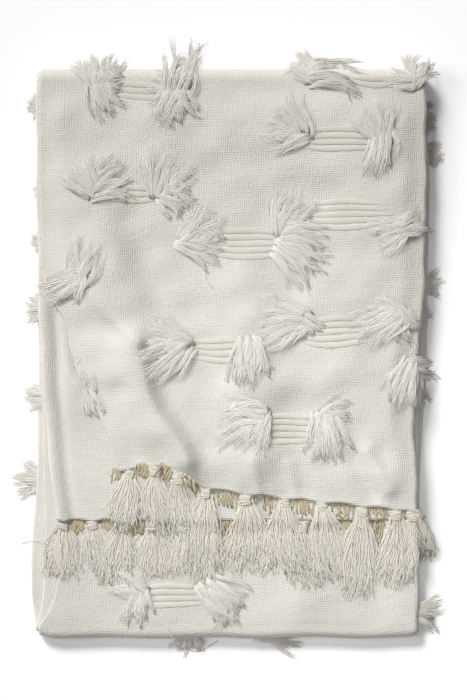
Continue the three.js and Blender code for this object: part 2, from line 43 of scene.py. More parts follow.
# The cloth: one sheet of hand-woven cotton, 1.30 x 1.70 m, with a selvedge on both sides. It is folded in
# thirds across its width, the last third turned over as the cover ply, and then in three along its length.
# All sizes are in millimetres until a mesh is made.
MILLIMETRE = 0.001
CLOTH_WIDTH = 1300
CLOTH_LENGTH = 1700
FOLDED_LENGTH = 632
THICKNESS = 2.2
PLY_PITCH = 3.2
HALF_WIDTH = CLOTH_WIDTH / 6
HALF_LENGTH = FOLDED_LENGTH / 2
COVER_RISE = 2 * PLY_PITCH
UNDER_Z = THICKNESS / 2 + 2 * PLY_PITCH
MID_Z = UNDER_Z + PLY_PITCH
TOP_Z = MID_Z + 3 * PLY_PITCH
HEAD_Z = (TOP_Z + UNDER_Z) / 2
HEAD_RADIUS = (TOP_Z - UNDER_Z) / 2
HEAD_Y = HALF_LENGTH - HEAD_RADIUS - COVER_RISE - THICKNESS / 2
FOOT_Z = (MID_Z + UNDER_Z) / 2
FOOT_RADIUS = (MID_Z - UNDER_Z) / 2
FOOT_Y = -HALF_LENGTH + FOOT_RADIUS + COVER_RISE + THICKNESS / 2
BACK_HEM_Y = -184
INNER_HEM_Y = -186
TURNS_LENGTH = math.pi * (HEAD_RADIUS + FOOT_RADIUS)
MID_END_Y = FOOT_Y + CLOTH_LENGTH - (HEAD_Y - BACK_HEM_Y) - (HEAD_Y - FOOT_Y) - TURNS_LENGTH

# How far the strip's edges lie inside the folded width along each layer: its share along the layer, then
# the cover's free selvedge, the turn on the left and the turn on the right
STRIP_EDGES = {
    "top": [
        (0, 93, 25, 10), (0.1, 79, 20, 12), (0.19, 63, 15, 13.5), (0.25, 47, 12, 14.5),
        (0.3, 41, 10, 15), (0.39, 33, 8, 9), (0.46, 12, 6, 5), (0.7, 5, 2, 1), (1, 5, 2, 1),
    ],
    "under": [
        (0, 5, 2, 1), (0.15, 5, 1, -4), (0.5, 8, 3, -1), (0.75, 4, 0, 7), (0.92, -3, -6, 8), (1, 3, 0, 9),
    ],
    "mid": [(0, 3, 0, 9), (0.06, 20, 7, 8), (0.2, 26, 9, 9), (0.5, 12, 6, 8), (1, 12, 6, 8)],
}
LAYER_OF_RUN = {"top": "top", "head_turn": "under", "under": "under", "foot_turn": "mid", "mid": "mid"}

# The hem line of the cover ply, and the knots of its fringe, between which the hem arches up a little
COVER_HEM = [
    (-124, -128), (-79, -123), (-57, -130), (-40, -143), (-18, -150), (32, -157), (99, -164), (208, -174),
]
COVER_KNOTS = [-112, -84, -58, -28, 16, 59, 101, 145, 182, 203]
HEM_ARCH = 3.6
FULL_ARCH_GAP = 42
EVEN_ARCH = 3.0
FIRST_TASSEL_X = -186
TASSEL_PITCH = 33
HEM_PULL = 2.0

# Creases of the cover ply: the line each follows, its height, and how far it spreads to the left and to the
# right of someone who walks along it. The first three are the sharp ridge that runs down to the hem by the
# flap, the broad swell under it and the trough beside it.
COVER_CREASES = [
    (
        [(-104, 6), (-97, -22), (-92, -44), (-82, -67), (-64, -89), (-54, -104), (-50, -114)],
        12.0, 11, 28,
    ),
    ([(-116, 6), (-108, -24), (-104, -46), (-96, -70), (-78, -92), (-56, -122)], 4.0, 34, 30),
    ([(-124, -40), (-117, -75), (-109, -116)], -2.6, 10, 13),
    ([(-156, 70), (-136, 47), (-114, 29), (-86, 12)], 8.5, 42, 11),
    ([(10, 70), (28, 0), (30, -40), (22, -122)], 6.5, 30, 34),
    ([(-44, 34), (-26, -16), (-10, -66)], -3.0, 18, 26),
    ([(-112, 144), (-95, 98), (-82, 58), (-74, 22)], -3.6, 20, 17),
    ([(-152, 190), (-140, 130), (-132, 70)], 3.2, 30, 36),
    ([(60, 250), (140, 180)], 3.5, 60, 60),
    ([(110, 60), (130, -20)], 4.0, 50, 55),
    ([(20, 215), (40, 180), (120, 168)], -2.6, 22, 22),
    ([(-20, 260), (30, 262)], -2.4, 26, 26),
    ([(30, -60), (100, -62)], -3.0, 20, 20),
    ([(72, -90), (80, -150)], -3.4, 18, 26),
    ([(150, -108), (173, -150)], 4.2, 9, 8),
    ([(136, -116), (156, -156)], -3.0, 9, 10),
    ([(24, -118), (30, -152)], 2.0, 7, 7),
    ([(64, -122), (72, -158)], 2.0, 7, 7),
    ([(-176, 40), (-180, -30), (-160, -110)], 2.4, 14, 14),
]
MID_CREASES = [
    ([(-60, -205), (-52, -250)], 1.6, 16, 16),
    ([(60, -200), (80, -270)], 2.2, 30, 22),
    ([(150, -215), (170, -275)], -1.6, 20, 20),
]
COVER_SLACK = 4.8
COVER_SWELL = 2.1
SWELL_LENGTHS = (58, 71, 92, 118, 150)
COVER_RIPPLE = 0.9
COVER_RIPPLE_LENGTHS = (46, 57, 68, 80)
COVER_RIPPLE_CLOSENESS = 2.2
CALM_AT_HEM = 0.3
CALM_AT_SELVEDGE = 0.25
KNOT_DIMPLE = 1.6
DIMPLE_WIDTH = 9
DIMPLE_LENGTH = 10
LOWEST_DIP = -0.7
DIP_SHARPNESS = 2.0
CREASE_FADE = 45
RIGHT_FADE = 26
HEM_FADE = 42
SIDE_FADE = 30
FOOT_CREASE_FADE = 14


def smooth_step(distance, over):
    share = np.clip(distance / over, 0, 1)
    return share * share * (3 - 2 * share)


def mix(start, end, share):
    return start + (end - start) * share


def through(places, values, at):
    """The value at a place between the rows of a table, on a smooth curve through them."""
    places, values, at = (np.asarray(x, float) for x in (places, values, at))
    rows = np.arange(len(places))
    before = np.maximum(rows - 1, 0)
    after = np.minimum(rows + 1, len(rows) - 1)
    slopes = (values[after] - values[before]) / (places[after] - places[before])
    i = np.clip(np.searchsorted(places, at) - 1, 0, len(rows) - 2)
    span = places[i + 1] - places[i]
    t = np.clip((at - places[i]) / span, 0, 1)
    rest = 1 - t
    start = rest * rest * (1 + 2 * t) * values[i] + rest * rest * t * span * slopes[i]
    end = t * t * (3 - 2 * t) * values[i + 1] - t * t * rest * span * slopes[i + 1]
    return start + end


def crease_height(creases, x, y):
    """The summed height of soft creases, each falling away on both sides of its line."""
    total = np.zeros(np.shape(x))
    for line, height, left_spread, right_spread in creases:
        nearest = np.full(np.shape(x), np.inf)
        side = np.zeros(np.shape(x))
        for (ax, ay), (bx, by) in zip(line[:-1], line[1:]):
            dx, dy = bx - ax, by - ay
            share = np.clip(((x - ax) * dx + (y - ay) * dy) / (dx * dx + dy * dy), 0, 1)
            away_x, away_y = x - ax - share * dx, y - ay - share * dy
            distance = np.hypot(away_x, away_y)
            closer = distance < nearest
            turned = (dx * away_y - dy * away_x) / (np.hypot(dx, dy) * np.maximum(distance, 0.001))
            side = np.where(closer, turned, side)
            nearest = np.where(closer, distance, nearest)
        spread = mix(right_spread, left_spread, 0.5 + 0.5 * side)
        total += height * np.exp(-((nearest / spread) ** 2))
    return total


def undulation(x, y, wavelengths, seed):
    """A gentle unevenness between -1 and 1, from a few seeded waves that run in different directions."""
    chance = np.random.default_rng(seed)
    total = np.zeros(np.broadcast(x, y).shape)
    for length in wavelengths:
        heading, phase = chance.uniform(0, 2 * math.pi, 2)
        total += np.sin(2 * math.pi * (x * math.cos(heading) + y * math.sin(heading)) / length + phase)
    return total / len(wavelengths)


def hem_line(x):
    """The cover's hem: its drawn line, pulled down at each knot and arched up between two knots."""
    knots = np.array(COVER_KNOTS, float)
    i = np.clip(np.searchsorted(knots, x) - 1, 0, len(knots) - 2)
    share = np.clip((x - knots[i]) / (knots[i + 1] - knots[i]), 0, 1)
    arch = np.minimum((knots[i + 1] - knots[i]) / FULL_ARCH_GAP, 1) * np.sin(math.pi * share)
    drawn = through([row[0] for row in COVER_HEM], [row[1] for row in COVER_HEM], x)
    return drawn - HEM_PULL + HEM_ARCH * arch


def even_hem(y, x):
    """The hem of an inner ply, arched up a little between its evenly spaced knots."""
    return y + EVEN_ARCH * np.abs(np.sin(math.pi * (x - FIRST_TASSEL_X) / TASSEL_PITCH))


def cover_relief(x, y):
    """The height of the cover ply over its flat level: slack, creases and a dimple above each knot."""
    above_hem = y - hem_line(x)
    relief = COVER_SLACK + COVER_SWELL * undulation(x, y, SWELL_LENGTHS, 3)
    relief = relief + COVER_RIPPLE * undulation(x, COVER_RIPPLE_CLOSENESS * y, COVER_RIPPLE_LENGTHS, 4)
    relief = relief * mix(CALM_AT_HEM, 1, smooth_step(above_hem, HEM_FADE))
    relief = relief + crease_height(COVER_CREASES, x, y)
    knots = np.array(COVER_KNOTS, float)
    nearest = np.min(np.abs(np.asarray(x)[..., None] - knots), axis=-1)
    dimple = KNOT_DIMPLE * np.exp(-((nearest / DIMPLE_WIDTH) ** 2))
    relief = relief - dimple * np.exp(-np.maximum(above_hem, 0) / DIMPLE_LENGTH)
    return LOWEST_DIP + np.logaddexp(0, (relief - LOWEST_DIP) * DIP_SHARPNESS) / DIP_SHARPNESS


# Columns across the strip and rows along it, closer together where the folds show
ACROSS = [
    ("cover", np.concatenate([np.linspace(0, 0.44, 76), np.linspace(0.44, 1, 56)[1:]])),
    ("right_turn", np.linspace(0, 1, 9)[1:]),
    ("back", np.linspace(0, 1, 7)[1:]),
    ("left_turn", np.linspace(0, 1, 9)[1:]),
    ("inner", np.concatenate([np.linspace(0, 0.24, 27)[1:], np.linspace(0.24, 1, 7)[1:]])),
]
ALONG = [
    ("top", np.concatenate([np.linspace(0, 0.5, 82), np.linspace(0.5, 1, 42)[1:]])),
    ("head_turn", np.linspace(0, 1, 13)[1:]),
    ("under", np.linspace(0, 1, 17)[1:]),
    ("foot_turn", np.linspace(0, 1, 11)[1:]),
    ("mid", np.concatenate([np.linspace(0, 0.21, 42)[1:], np.linspace(0.21, 1, 9)[1:]])),
]
EDGE_UNEVENNESS = 1.6
EDGE_WAVE_LENGTHS = (31, 47, 73, 110)
EDGE_ROW_SPAN = 600
SELVEDGE_CLEAR = 1.0
ROLL_HEIGHT = 3.8
ROLL_WIDTH = 9
ROLL_FULLNESS = 2.6
ROLL_TOP_Y = 80
ROLL_FADE = 40
GROOVE_DEPTH = 1.2
GROOVE_PLACE = 1.6
GROOVE_WIDTH = 0.45
PILE_UNEVENNESS = 0.05
PILE_WAVE_LENGTHS = (170, 230, 310, 400)
FOOT_UNEVENNESS = 1.8
FOOT_WAVE_LENGTHS = (41, 66, 97, 150)
FOOT_REACH = 30
FOOT_BLEND = 34
CORNER_ROUNDING = 5
CORNER_START_X = 188
CORNER_WIDTH = 30
MID_SLACK = 0.6
MID_WAVE_LENGTHS = (38, 52, 80, 120)
MID_CALM_Y = -190
MID_CALM_FADE = 12
# The line of the flap's free edge as y and x, and the ply beside it, which rises to the cover's level
FLAP_EDGE_Y = (-130, -85, -45, -19, 2, 40)
FLAP_EDGE_X = (-124, -138, -154, -170, -176, -184)
RAMP_SHARE = 0.9
RAMP_START_Y = -92
RAMP_END_Y = 52
RAMP_RISE = 52
RAMP_FALL = 20
RAMP_EDGE_BLEND = 6
RAMP_ROLL_CLEAR = 14
RAMP_ROLL_BLEND = 12

across_run = np.concatenate([[run] * len(shares) for run, shares in ACROSS])
along_run = np.concatenate([[run] * len(shares) for run, shares in ALONG])
along_share = np.concatenate([shares for _, shares in ALONG])

edge_rows = []
for run, share in zip(along_run, along_share):
    rows = np.array(STRIP_EDGES[LAYER_OF_RUN[run]], float)
    at = share if LAYER_OF_RUN[run] == run else 0
    edge_rows.append([through(rows[:, 0], rows[:, column], at) for column in (1, 2, 3)])
edge_rows = np.array(edge_rows)
row_places = np.cumsum(np.concatenate([[0], np.diff(along_share) % 1.0])) * EDGE_ROW_SPAN
edge_rows += EDGE_UNEVENNESS * np.stack(
    [undulation(row_places, 0 * row_places, EDGE_WAVE_LENGTHS, seed) for seed in (11, 12, 13)], axis=1
)
selvedge = (-HALF_WIDTH + edge_rows[:, 0])[:, None]
left_x = (-HALF_WIDTH + edge_rows[:, 1])[:, None] + (PLY_PITCH + THICKNESS) / 2
right_edge = (HALF_WIDTH - edge_rows[:, 2])[:, None]
right_x = right_edge - PLY_PITCH - THICKNESS / 2
selvedge = np.maximum(selvedge, left_x + SELVEDGE_CLEAR)

# The inner ply's left fold is not pressed flat: below the flap's upper end it stands up in a soft roll
row_y = mix(INNER_HEM_Y, HEAD_Y, along_share)
roll = ROLL_HEIGHT * (along_run == "top") * smooth_step(ROLL_TOP_Y - row_y, ROLL_FADE)
roll = roll[:, None]


def turn(x, radius, angle):
    """A half turn across the strip: x, rise over the back ply, and the way the cloth's face looks."""
    rise = radius + radius * np.sin(angle) + 0 * x
    return x + radius * np.cos(angle), rise, np.cos(angle) + 0 * x, np.sin(angle) + 0 * x


blocks = []
for run, shares in ACROSS:
    share = shares[None, :]
    level = np.zeros((len(along_run), len(shares)))
    if run == "cover":
        blocks.append((mix(selvedge, right_x, share), level + COVER_RISE, level, level + 1))
    elif run == "right_turn":
        blocks.append(turn(right_x, PLY_PITCH, math.pi * (0.5 - share)))
    elif run == "back":
        blocks.append((mix(right_x, left_x, share), level, level, level - 1))
    elif run == "left_turn":
        blocks.append(turn(left_x, (PLY_PITCH + roll) / 2, -math.pi * (0.5 + share)))
    else:
        x = mix(left_x, right_x, share)
        tube = roll * np.exp(-(np.abs(x - left_x) / ROLL_WIDTH) ** ROLL_FULLNESS)
        from_groove = ((x - left_x) / ROLL_WIDTH - GROOVE_PLACE) / GROOVE_WIDTH
        groove = GROOVE_DEPTH * roll / ROLL_HEIGHT * np.exp(-from_groove ** 2)
        blocks.append((x, level + PLY_PITCH + tube - groove, level, level + 1))
middle_x, rise, face_x, face_rise = (np.concatenate(parts, axis=1) for parts in zip(*blocks))

on_cover = (across_run == "cover")[None, :]
on_inner = (across_run == "inner")[None, :]
turn_share = np.where(across_run == "right_turn", np.concatenate([shares for _, shares in ACROSS]), 1)
hem = np.where(on_inner, even_hem(INNER_HEM_Y, middle_x), BACK_HEM_Y)
hem = np.where(on_cover, hem_line(middle_x), hem)
on_right_turn = (across_run == "right_turn")[None, :]
hem = np.where(on_right_turn, mix(hem_line(middle_x), BACK_HEM_Y, turn_share[None, :]), hem)
right_fade = smooth_step(right_edge - PLY_PITCH - middle_x, RIGHT_FADE)


def sheet_side(side):
    """The points of the cloth's face (+1) or reverse (-1), one row for each place along the strip."""
    x = middle_x + side * THICKNESS * face_x / 2
    high = rise + side * THICKNESS * face_rise / 2
    y = np.zeros(x.shape)
    z = np.zeros(x.shape)
    share = along_share[:, None]
    for run in LAYER_OF_RUN:
        rows = along_run == run
        if run == "top":
            y[rows] = mix(hem[rows], HEAD_Y, share[rows])
            relief = cover_relief(middle_x[rows], y[rows]) * right_fade[rows]
            relief = relief * smooth_step(HEAD_Y - y[rows], CREASE_FADE)
            from_selvedge = middle_x[rows] - selvedge[rows]
            relief = relief * mix(CALM_AT_SELVEDGE, 1, smooth_step(from_selvedge, SIDE_FADE))
            # The inner ply rises to the cover's level beside the flap's upper end
            ramp = PLY_PITCH * RAMP_SHARE * smooth_step(y[rows] - RAMP_START_Y, RAMP_RISE)
            ramp = ramp * smooth_step(RAMP_END_Y - y[rows], RAMP_FALL)
            edge_x = np.interp(y[rows], FLAP_EDGE_Y, FLAP_EDGE_X)
            from_roll = middle_x[rows] - left_x[rows] - RAMP_ROLL_CLEAR
            lift = ramp * smooth_step(edge_x - middle_x[rows], RAMP_EDGE_BLEND)
            lift = lift * smooth_step(from_roll, RAMP_ROLL_BLEND)
            z[rows] = TOP_Z + high[rows] + np.where(on_cover, relief, np.where(on_inner, lift, 0))
        elif run == "head_turn":
            angle = math.pi * (0.5 - share[rows])
            y[rows] = HEAD_Y + (HEAD_RADIUS + high[rows]) * np.cos(angle)
            z[rows] = HEAD_Z + (HEAD_RADIUS + high[rows]) * np.sin(angle)
        elif run == "under":
            y[rows] = mix(HEAD_Y, FOOT_Y, share[rows]) + 0 * x[rows]
            z[rows] = UNDER_Z - high[rows]
        elif run == "foot_turn":
            angle = -math.pi * (0.5 + share[rows])
            y[rows] = FOOT_Y + (FOOT_RADIUS + high[rows]) * np.cos(angle)
            z[rows] = FOOT_Z + (FOOT_RADIUS + high[rows]) * np.sin(angle)
        else:
            y[rows] = mix(FOOT_Y, MID_END_Y, share[rows]) + 0 * x[rows]
            relief = crease_height(MID_CREASES, middle_x[rows], y[rows])
            slack = MID_SLACK * undulation(middle_x[rows], y[rows], MID_WAVE_LENGTHS, 5)
            relief = relief + MID_SLACK + slack
            relief = relief * right_fade[rows] * smooth_step(y[rows] - FOOT_Y, FOOT_CREASE_FADE)
            relief = relief * smooth_step(MID_CALM_Y - y[rows], MID_CALM_FADE)
            z[rows] = MID_Z + high[rows] + np.where(on_cover, relief, 0)
    # The foot fold isn't straight, and its corners are rounded off
    at_foot = smooth_step(FOOT_Y + FOOT_REACH - y, FOOT_BLEND)
    y = y + FOOT_UNEVENNESS * undulation(x, 0 * x, FOOT_WAVE_LENGTHS, 15) * at_foot
    y = y + CORNER_ROUNDING * smooth_step(np.abs(x) - CORNER_START_X, CORNER_WIDTH) ** 2 * at_foot
    z = z * (1 + PILE_UNEVENNESS * undulation(x, y, PILE_WAVE_LENGTHS, 6))
    return np.stack([x, y, z], axis=2)


def joined_mesh(name, points, faces, uv_name, uv, shade=None):
    """A mesh of four-cornered faces from arrays, in metres, with its UV map and a shade for each point."""
    mesh = bpy.data.meshes.new(name)
    mesh.vertices.add(len(points))
    mesh.vertices.foreach_set("co", (points * MILLIMETRE).astype(np.float32).ravel())
    mesh.loops.add(faces.size)
    mesh.loops.foreach_set("vertex_index", faces.astype(np.int32).ravel())
    mesh.polygons.add(len(faces))
    mesh.polygons.foreach_set("loop_start", np.arange(0, faces.size, 4, dtype=np.int32))
    mesh.update(calc_edges=True)
    mesh.polygons.foreach_set("use_smooth", np.ones(len(faces), bool))
    mesh.uv_layers.new(name=uv_name).data.foreach_set("uv", uv.astype(np.float32).ravel())
    if shade is not None:
        mesh.attributes.new("shade", "FLOAT", "POINT").data.foreach_set("value", shade.astype(np.float32))
    mesh.validate()
    piece = bpy.data.objects.new(name, mesh)
    bpy.context.scene.collection.objects.link(piece)
    return piece


face = sheet_side(1)
reverse = sheet_side(-1)
row_count, column_count = middle_x.shape
number = np.arange(row_count * column_count).reshape(row_count, column_count)
behind = number + row_count * column_count


def quads(a, b, c, d):
    return np.stack([a.ravel(), b.ravel(), c.ravel(), d.ravel()], axis=1)


sheet_faces = np.concatenate([
    quads(number[:-1, :-1], number[:-1, 1:], number[1:, 1:], number[1:, :-1]),
    quads(behind[:-1, :-1], behind[1:, :-1], behind[1:, 1:], behind[:-1, 1:]),
    quads(behind[0, :-1], behind[0, 1:], number[0, 1:], number[0, :-1]),
    quads(number[-1, :-1], number[-1, 1:], behind[-1, 1:], behind[-1, :-1]),
    quads(behind[1:, 0], behind[:-1, 0], number[:-1, 0], number[1:, 0]),
    quads(behind[:-1, -1], behind[1:, -1], number[1:, -1], number[:-1, -1]),
])
halfway = (face + reverse) / 2
steps_across = np.linalg.norm(np.diff(halfway, axis=1), axis=2)
steps_along = np.linalg.norm(np.diff(halfway, axis=0), axis=2)
flat_u = halfway[:, :1, 0] + np.pad(np.cumsum(steps_across, axis=1), ((0, 0), (1, 0)))
flat_v = halfway[:1, :, 1] + np.pad(np.cumsum(steps_along, axis=0), ((1, 0), (0, 0)))
flat = np.stack([flat_u, flat_v], axis=2).reshape(-1, 2) * MILLIMETRE
flat = np.concatenate([flat, flat])
sheet_points = np.concatenate([face.reshape(-1, 3), reverse.reshape(-1, 3)])
cloth = joined_mesh("cloth_sheet", sheet_points, sheet_faces, "weave", flat[sheet_faces])


def linear(hex_colour):
    """A linear colour from an sRGB hex value."""
    parts = [int(hex_colour[i : i + 2], 16) / 255 for i in (1, 3, 5)]
    return (*[c / 12.92 if c <= 0.04045 else ((c + 0.055) / 1.055) ** 2.4 for c in parts], 1.0)


def add_node(material, kind, settings, inputs):
    """Adds a node with its settings, and with its inputs set or linked."""
    node = material.node_tree.nodes.new(kind)
    for name, value in settings.items():
        setattr(node, name, value)
    for name, value in inputs.items():
        if isinstance(value, bpy.types.NodeSocket):
            material.node_tree.links.new(value, node.inputs[name])
        else:
            node.inputs[name].default_value = value
    return node


# Hand-woven cotton: hand-spun singles in a plain weave, washed and matt. The eye sees a small square grain,
# streaks where a yarn runs thick or thin, and a slightly darker tone in the hollows, which is painted shade.
# The yarns are drawn about twice as far apart as real ones, because finer ones don't show in the render.
WOVEN_IVORY = "#D0CDC5"
YARN_SPACING = 2.5
YARN_STRAY = 4
YARN_RELIEF = 0.2
WEAVE_DEPTH = 0.55
SLUB_LENGTH = 8
SLUB_WIDTH = 1.5
RIPPLE_LENGTH = 34
RIPPLE_WIDTH = 8
woven = bpy.data.materials.new("handwoven_cotton")
woven.use_nodes = True
surface = woven.node_tree.nodes["Principled BSDF"]
place = add_node(woven, "ShaderNodeUVMap", {"uv_map": "weave"}, {}).outputs[0]
wander = add_node(woven, "ShaderNodeTexNoise", {}, {"Vector": place, "Scale": 60, "Detail": 1})
strayed = add_node(
    woven, "ShaderNodeVectorMath", {"operation": "MULTIPLY_ADD"},
    {0: wander.outputs[1], 1: (YARN_STRAY * MILLIMETRE,) * 3, 2: place},
)
parts = add_node(woven, "ShaderNodeSeparateXYZ", {}, {0: strayed.outputs[0]})
height = 0.0
for axis in (0, 1):
    turns = add_node(
        woven, "ShaderNodeMath", {"operation": "MULTIPLY"},
        {0: parts.outputs[axis], 1: 2 * math.pi / (YARN_SPACING * MILLIMETRE)},
    )
    wave = add_node(woven, "ShaderNodeMath", {"operation": "SINE"}, {0: turns.outputs[0]})
    height = add_node(
        woven, "ShaderNodeMath", {"operation": "MULTIPLY_ADD"},
        {0: wave.outputs[0], 1: YARN_RELIEF, 2: height},
    ).outputs[0]
# Noise drawn out along the weft, along the warp, and in wider ripples where the weft was beaten unevenly:
# its length and width, its share of the relief, and its share of the tone
STREAKS = [
    (SLUB_LENGTH, SLUB_WIDTH, 0.8, 0.2),
    (SLUB_WIDTH, SLUB_LENGTH, 1.3, 0.5),
    (RIPPLE_LENGTH, RIPPLE_WIDTH, 0.9, 0.1),
]
tone_with_hollow_shade = add_node(woven, "ShaderNodeTexNoise", {}, {"Vector": place, "Scale": 14, "Detail": 3}).outputs[0]
# Each streak lightens the tone where it raises the relief, so a low streak is painted darker: painted shade
# in the hollows.
for long, wide, relief_weight, tone_weight in STREAKS:
    stretched = add_node(
        woven, "ShaderNodeMapping", {},
        {"Vector": place, "Scale": (1 / long / MILLIMETRE, 1 / wide / MILLIMETRE, 1)},
    )
    streak = add_node(
        woven, "ShaderNodeTexNoise", {}, {"Vector": stretched.outputs[0], "Scale": 1, "Detail": 1}
    )
    height = add_node(
        woven, "ShaderNodeMath", {"operation": "MULTIPLY_ADD"},
        {0: streak.outputs[0], 1: relief_weight, 2: height},
    ).outputs[0]
    tone_with_hollow_shade = add_node(
        woven, "ShaderNodeMath", {"operation": "MULTIPLY_ADD"},
        {0: streak.outputs[0], 1: tone_weight, 2: tone_with_hollow_shade},
    ).outputs[0]
bump = add_node(
    woven, "ShaderNodeBump", {}, {"Strength": 0.7, "Distance": WEAVE_DEPTH * MILLIMETRE, "Height": height}
)
value = add_node(woven, "ShaderNodeMapRange", {}, {"Value": tone_with_hollow_shade, 1: 0.4, 2: 1.4, 3: 0.86, 4: 1.06})
tinted = add_node(
    woven, "ShaderNodeHueSaturation", {}, {"Value": value.outputs[0], "Color": linear(WOVEN_IVORY)}
)
woven.node_tree.links.new(tinted.outputs[0], surface.inputs["Base Color"])
woven.node_tree.links.new(bump.outputs[0], surface.inputs["Normal"])
surface.inputs["Roughness"].default_value = 0.95
surface.inputs["Specular IOR Level"].default_value = 0.2
surface.inputs["Sheen Weight"].default_value = 0.15
surface.inputs["Sheen Roughness"].default_value = 0.5
cloth.data.materials.append(woven)

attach(cloth, "root")
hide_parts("cloth")

# The cloth's own outside, for laying yarn on it
outside = BVHTree.FromPolygons([Vector(p) for p in sheet_points.tolist()], sheet_faces.tolist())
HIGH_ABOVE = 500


def seat_under(x, y):
    """The height of the cloth under each point, and of the floor beyond its outline."""
    heights = np.zeros(np.shape(x))
    for place in np.ndindex(*np.shape(x)):
        hit = outside.ray_cast(Vector((x[place], y[place], HIGH_ABOVE)), Vector((0, 0, -1)))[0]
        heights[place] = hit.z if hit else 0
    return heights


# The inlay motifs: rows of soft thick weft laid into the cloth as raised ribs, with a tuft of cut yarn tied
# in where the ribs start and where they end. Each tuft is one to four lobes of hand-spun yarns, drawn
# together at the root, that arch over and lie down on the cloth with loose ends.
RIB_PITCH = 7.2
RIB_WIDTH = 6.4
RIB_HEIGHT = 2.3
RIB_STEPS = 26
RIB_SIDES = 10
RIB_LEAN = 0.4
RIB_SWAY = 0.7
RIB_NARROWING = 0.22
RIB_UNEVENNESS = 0.08
RIB_LIFT = 0.2
DEGREES_A_LOCK = 8
REACH_A_LOCK = 8
LOCK_STEPS = 9
LOCK_HALF_WIDTH = (1.8, 3.4)
LOCK_FLATNESS = 0.26
LOCK_FALL = 0.9
LOCK_CLEAR = 0.6
LOCK_LENGTHS = (0.72, 1.08)
SIDE_SHORTENING = 0.14
CURL_SPREAD = 16
CURL_BEFORE = 0.35
HEADING_SPREAD = 11
BEND_SPREAD = 13
BEND_TURNS = 0.9
OPEN_AT_ROOT = 0.6
ROOT_SHARE = 0.2
ROOT_BEHIND = 12
FAN_SHARE = 0.85
PAD_SHARE = 0.1
PAD_OPENING = 45
PAD_SIDES = 12
PAD_END = 0.6
LOBE_SWEEP = 14
LOBE_LIFT = 0.85
LOBE_ROUNDNESS = 1.6
FINE_YARNS = 9
FINE_STEPS = 7
FINE_RADIUS = 0.62
FINE_FLATNESS = 0.45
FINE_SCATTER = 1.5
FINE_WAVINESS = 1.0
FINE_LIFT = 0.6
CORE_SHARE = 0.72
CORE_WIDTH = 0.7
UP = np.array([0.0, 0.0, 1.0])

# Ribs as their number and the height of their middle line; tufts as root and lobes, and each lobe as its
# heading, opening, reach and the degrees that it curls round on its way
MOTIFS = {
    "motif_head_left": ((3, 290), [
        (-148, 298, [(100, 120, 40, 10), (8, 40, 40, -15), (-58, 44, 46, 15)]),
        (-62, 290, [(84, 30, 70, -4), (168, 24, 36, 0), (-128, 34, 48, 10), (-62, 34, 46, 10)]),
    ]),
    "motif_head_right": ((2, 300), [
        (88, 307, [(20, 34, 66, -95), (150, 70, 34, 20)]),
        (201, 301, [(70, 90, 36, 0), (170, 24, 38, 0)]),
    ]),
    "motif_upper_right": ((4, 236), [
        (76, 243, [(112, 66, 52, 25), (188, 36, 46, 10)]),
        (165, 240, [(106, 90, 44, 0), (-92, 50, 50, 0)]),
    ]),
    "motif_upper_left": ((3, 176), [
        (-149, 180, [(120, 80, 48, -20), (32, 80, 48, -25)]),
        (-76, 176, [(62, 90, 52, -15), (-30, 56, 44, -25)]),
    ]),
    "motif_centre": ((5, 121), [
        (-51, 123, [(32, 46, 56, 0), (-22, 44, 50, -10)]),
        (54, 117, [(-38, 50, 62, -10)]),
    ]),
    "motif_right": ((5, 153), [
        (58, 135, [(75, 80, 54, -45), (15, 70, 54, -35)]),
        (188, 138, [(205, 70, 42, 5), (12, 50, 38, -15)]),
    ]),
    "tuft_left": (None, [
        (-167, 84, [(70, 58, 50, 0), (178, 30, 54, 22), (-100, 42, 42, 0)]),
    ]),
    "motif_flap": ((4, 4), [
        (-52, 10, [(150, 60, 54, 25), (205, 50, 58, 5)]),
        (20, 9, [(-82, 60, 56, -10)]),
    ]),
    "motif_middle": ((5, 24), [
        (76, 38, [(150, 84, 60, 35), (215, 60, 52, 20), (-60, 50, 30, 0)]),
        (184, 45, [(240, 56, 62, 10), (160, 50, 34, 10), (-48, 44, 38, 0)]),
    ]),
    "motif_lower": ((5, -83), [
        (34, -70, [(165, 50, 62, 70), (-120, 50, 48, 20)]),
        (101, -70, [(-78, 62, 58, -10), (10, 34, 40, -50)]),
    ]),
    "tuft_right": (None, [
        (199, -16, [(-108, 60, 58, 25), (-62, 56, 50, -10), (5, 30, 34, -20)]),
    ]),
    "tuft_flap_edge": (None, [
        (-156, -46, [(112, 12, 34, 20), (-68, 14, 32, 10)]),
    ]),
    "motif_foot": ((4, -268), [
        (-100, -265, [(172, 40, 44, 15), (-82, 36, 42, 0)]),
        (-25, -259, [(-58, 64, 60, -15)]),
    ]),
}
RIB_ENDS = {
    "motif_lower": (28, 104), "motif_middle": (78, 150), "motif_head_right": (134, 190),
    "motif_right": (84, 174), "motif_centre": (-32, 56),
}


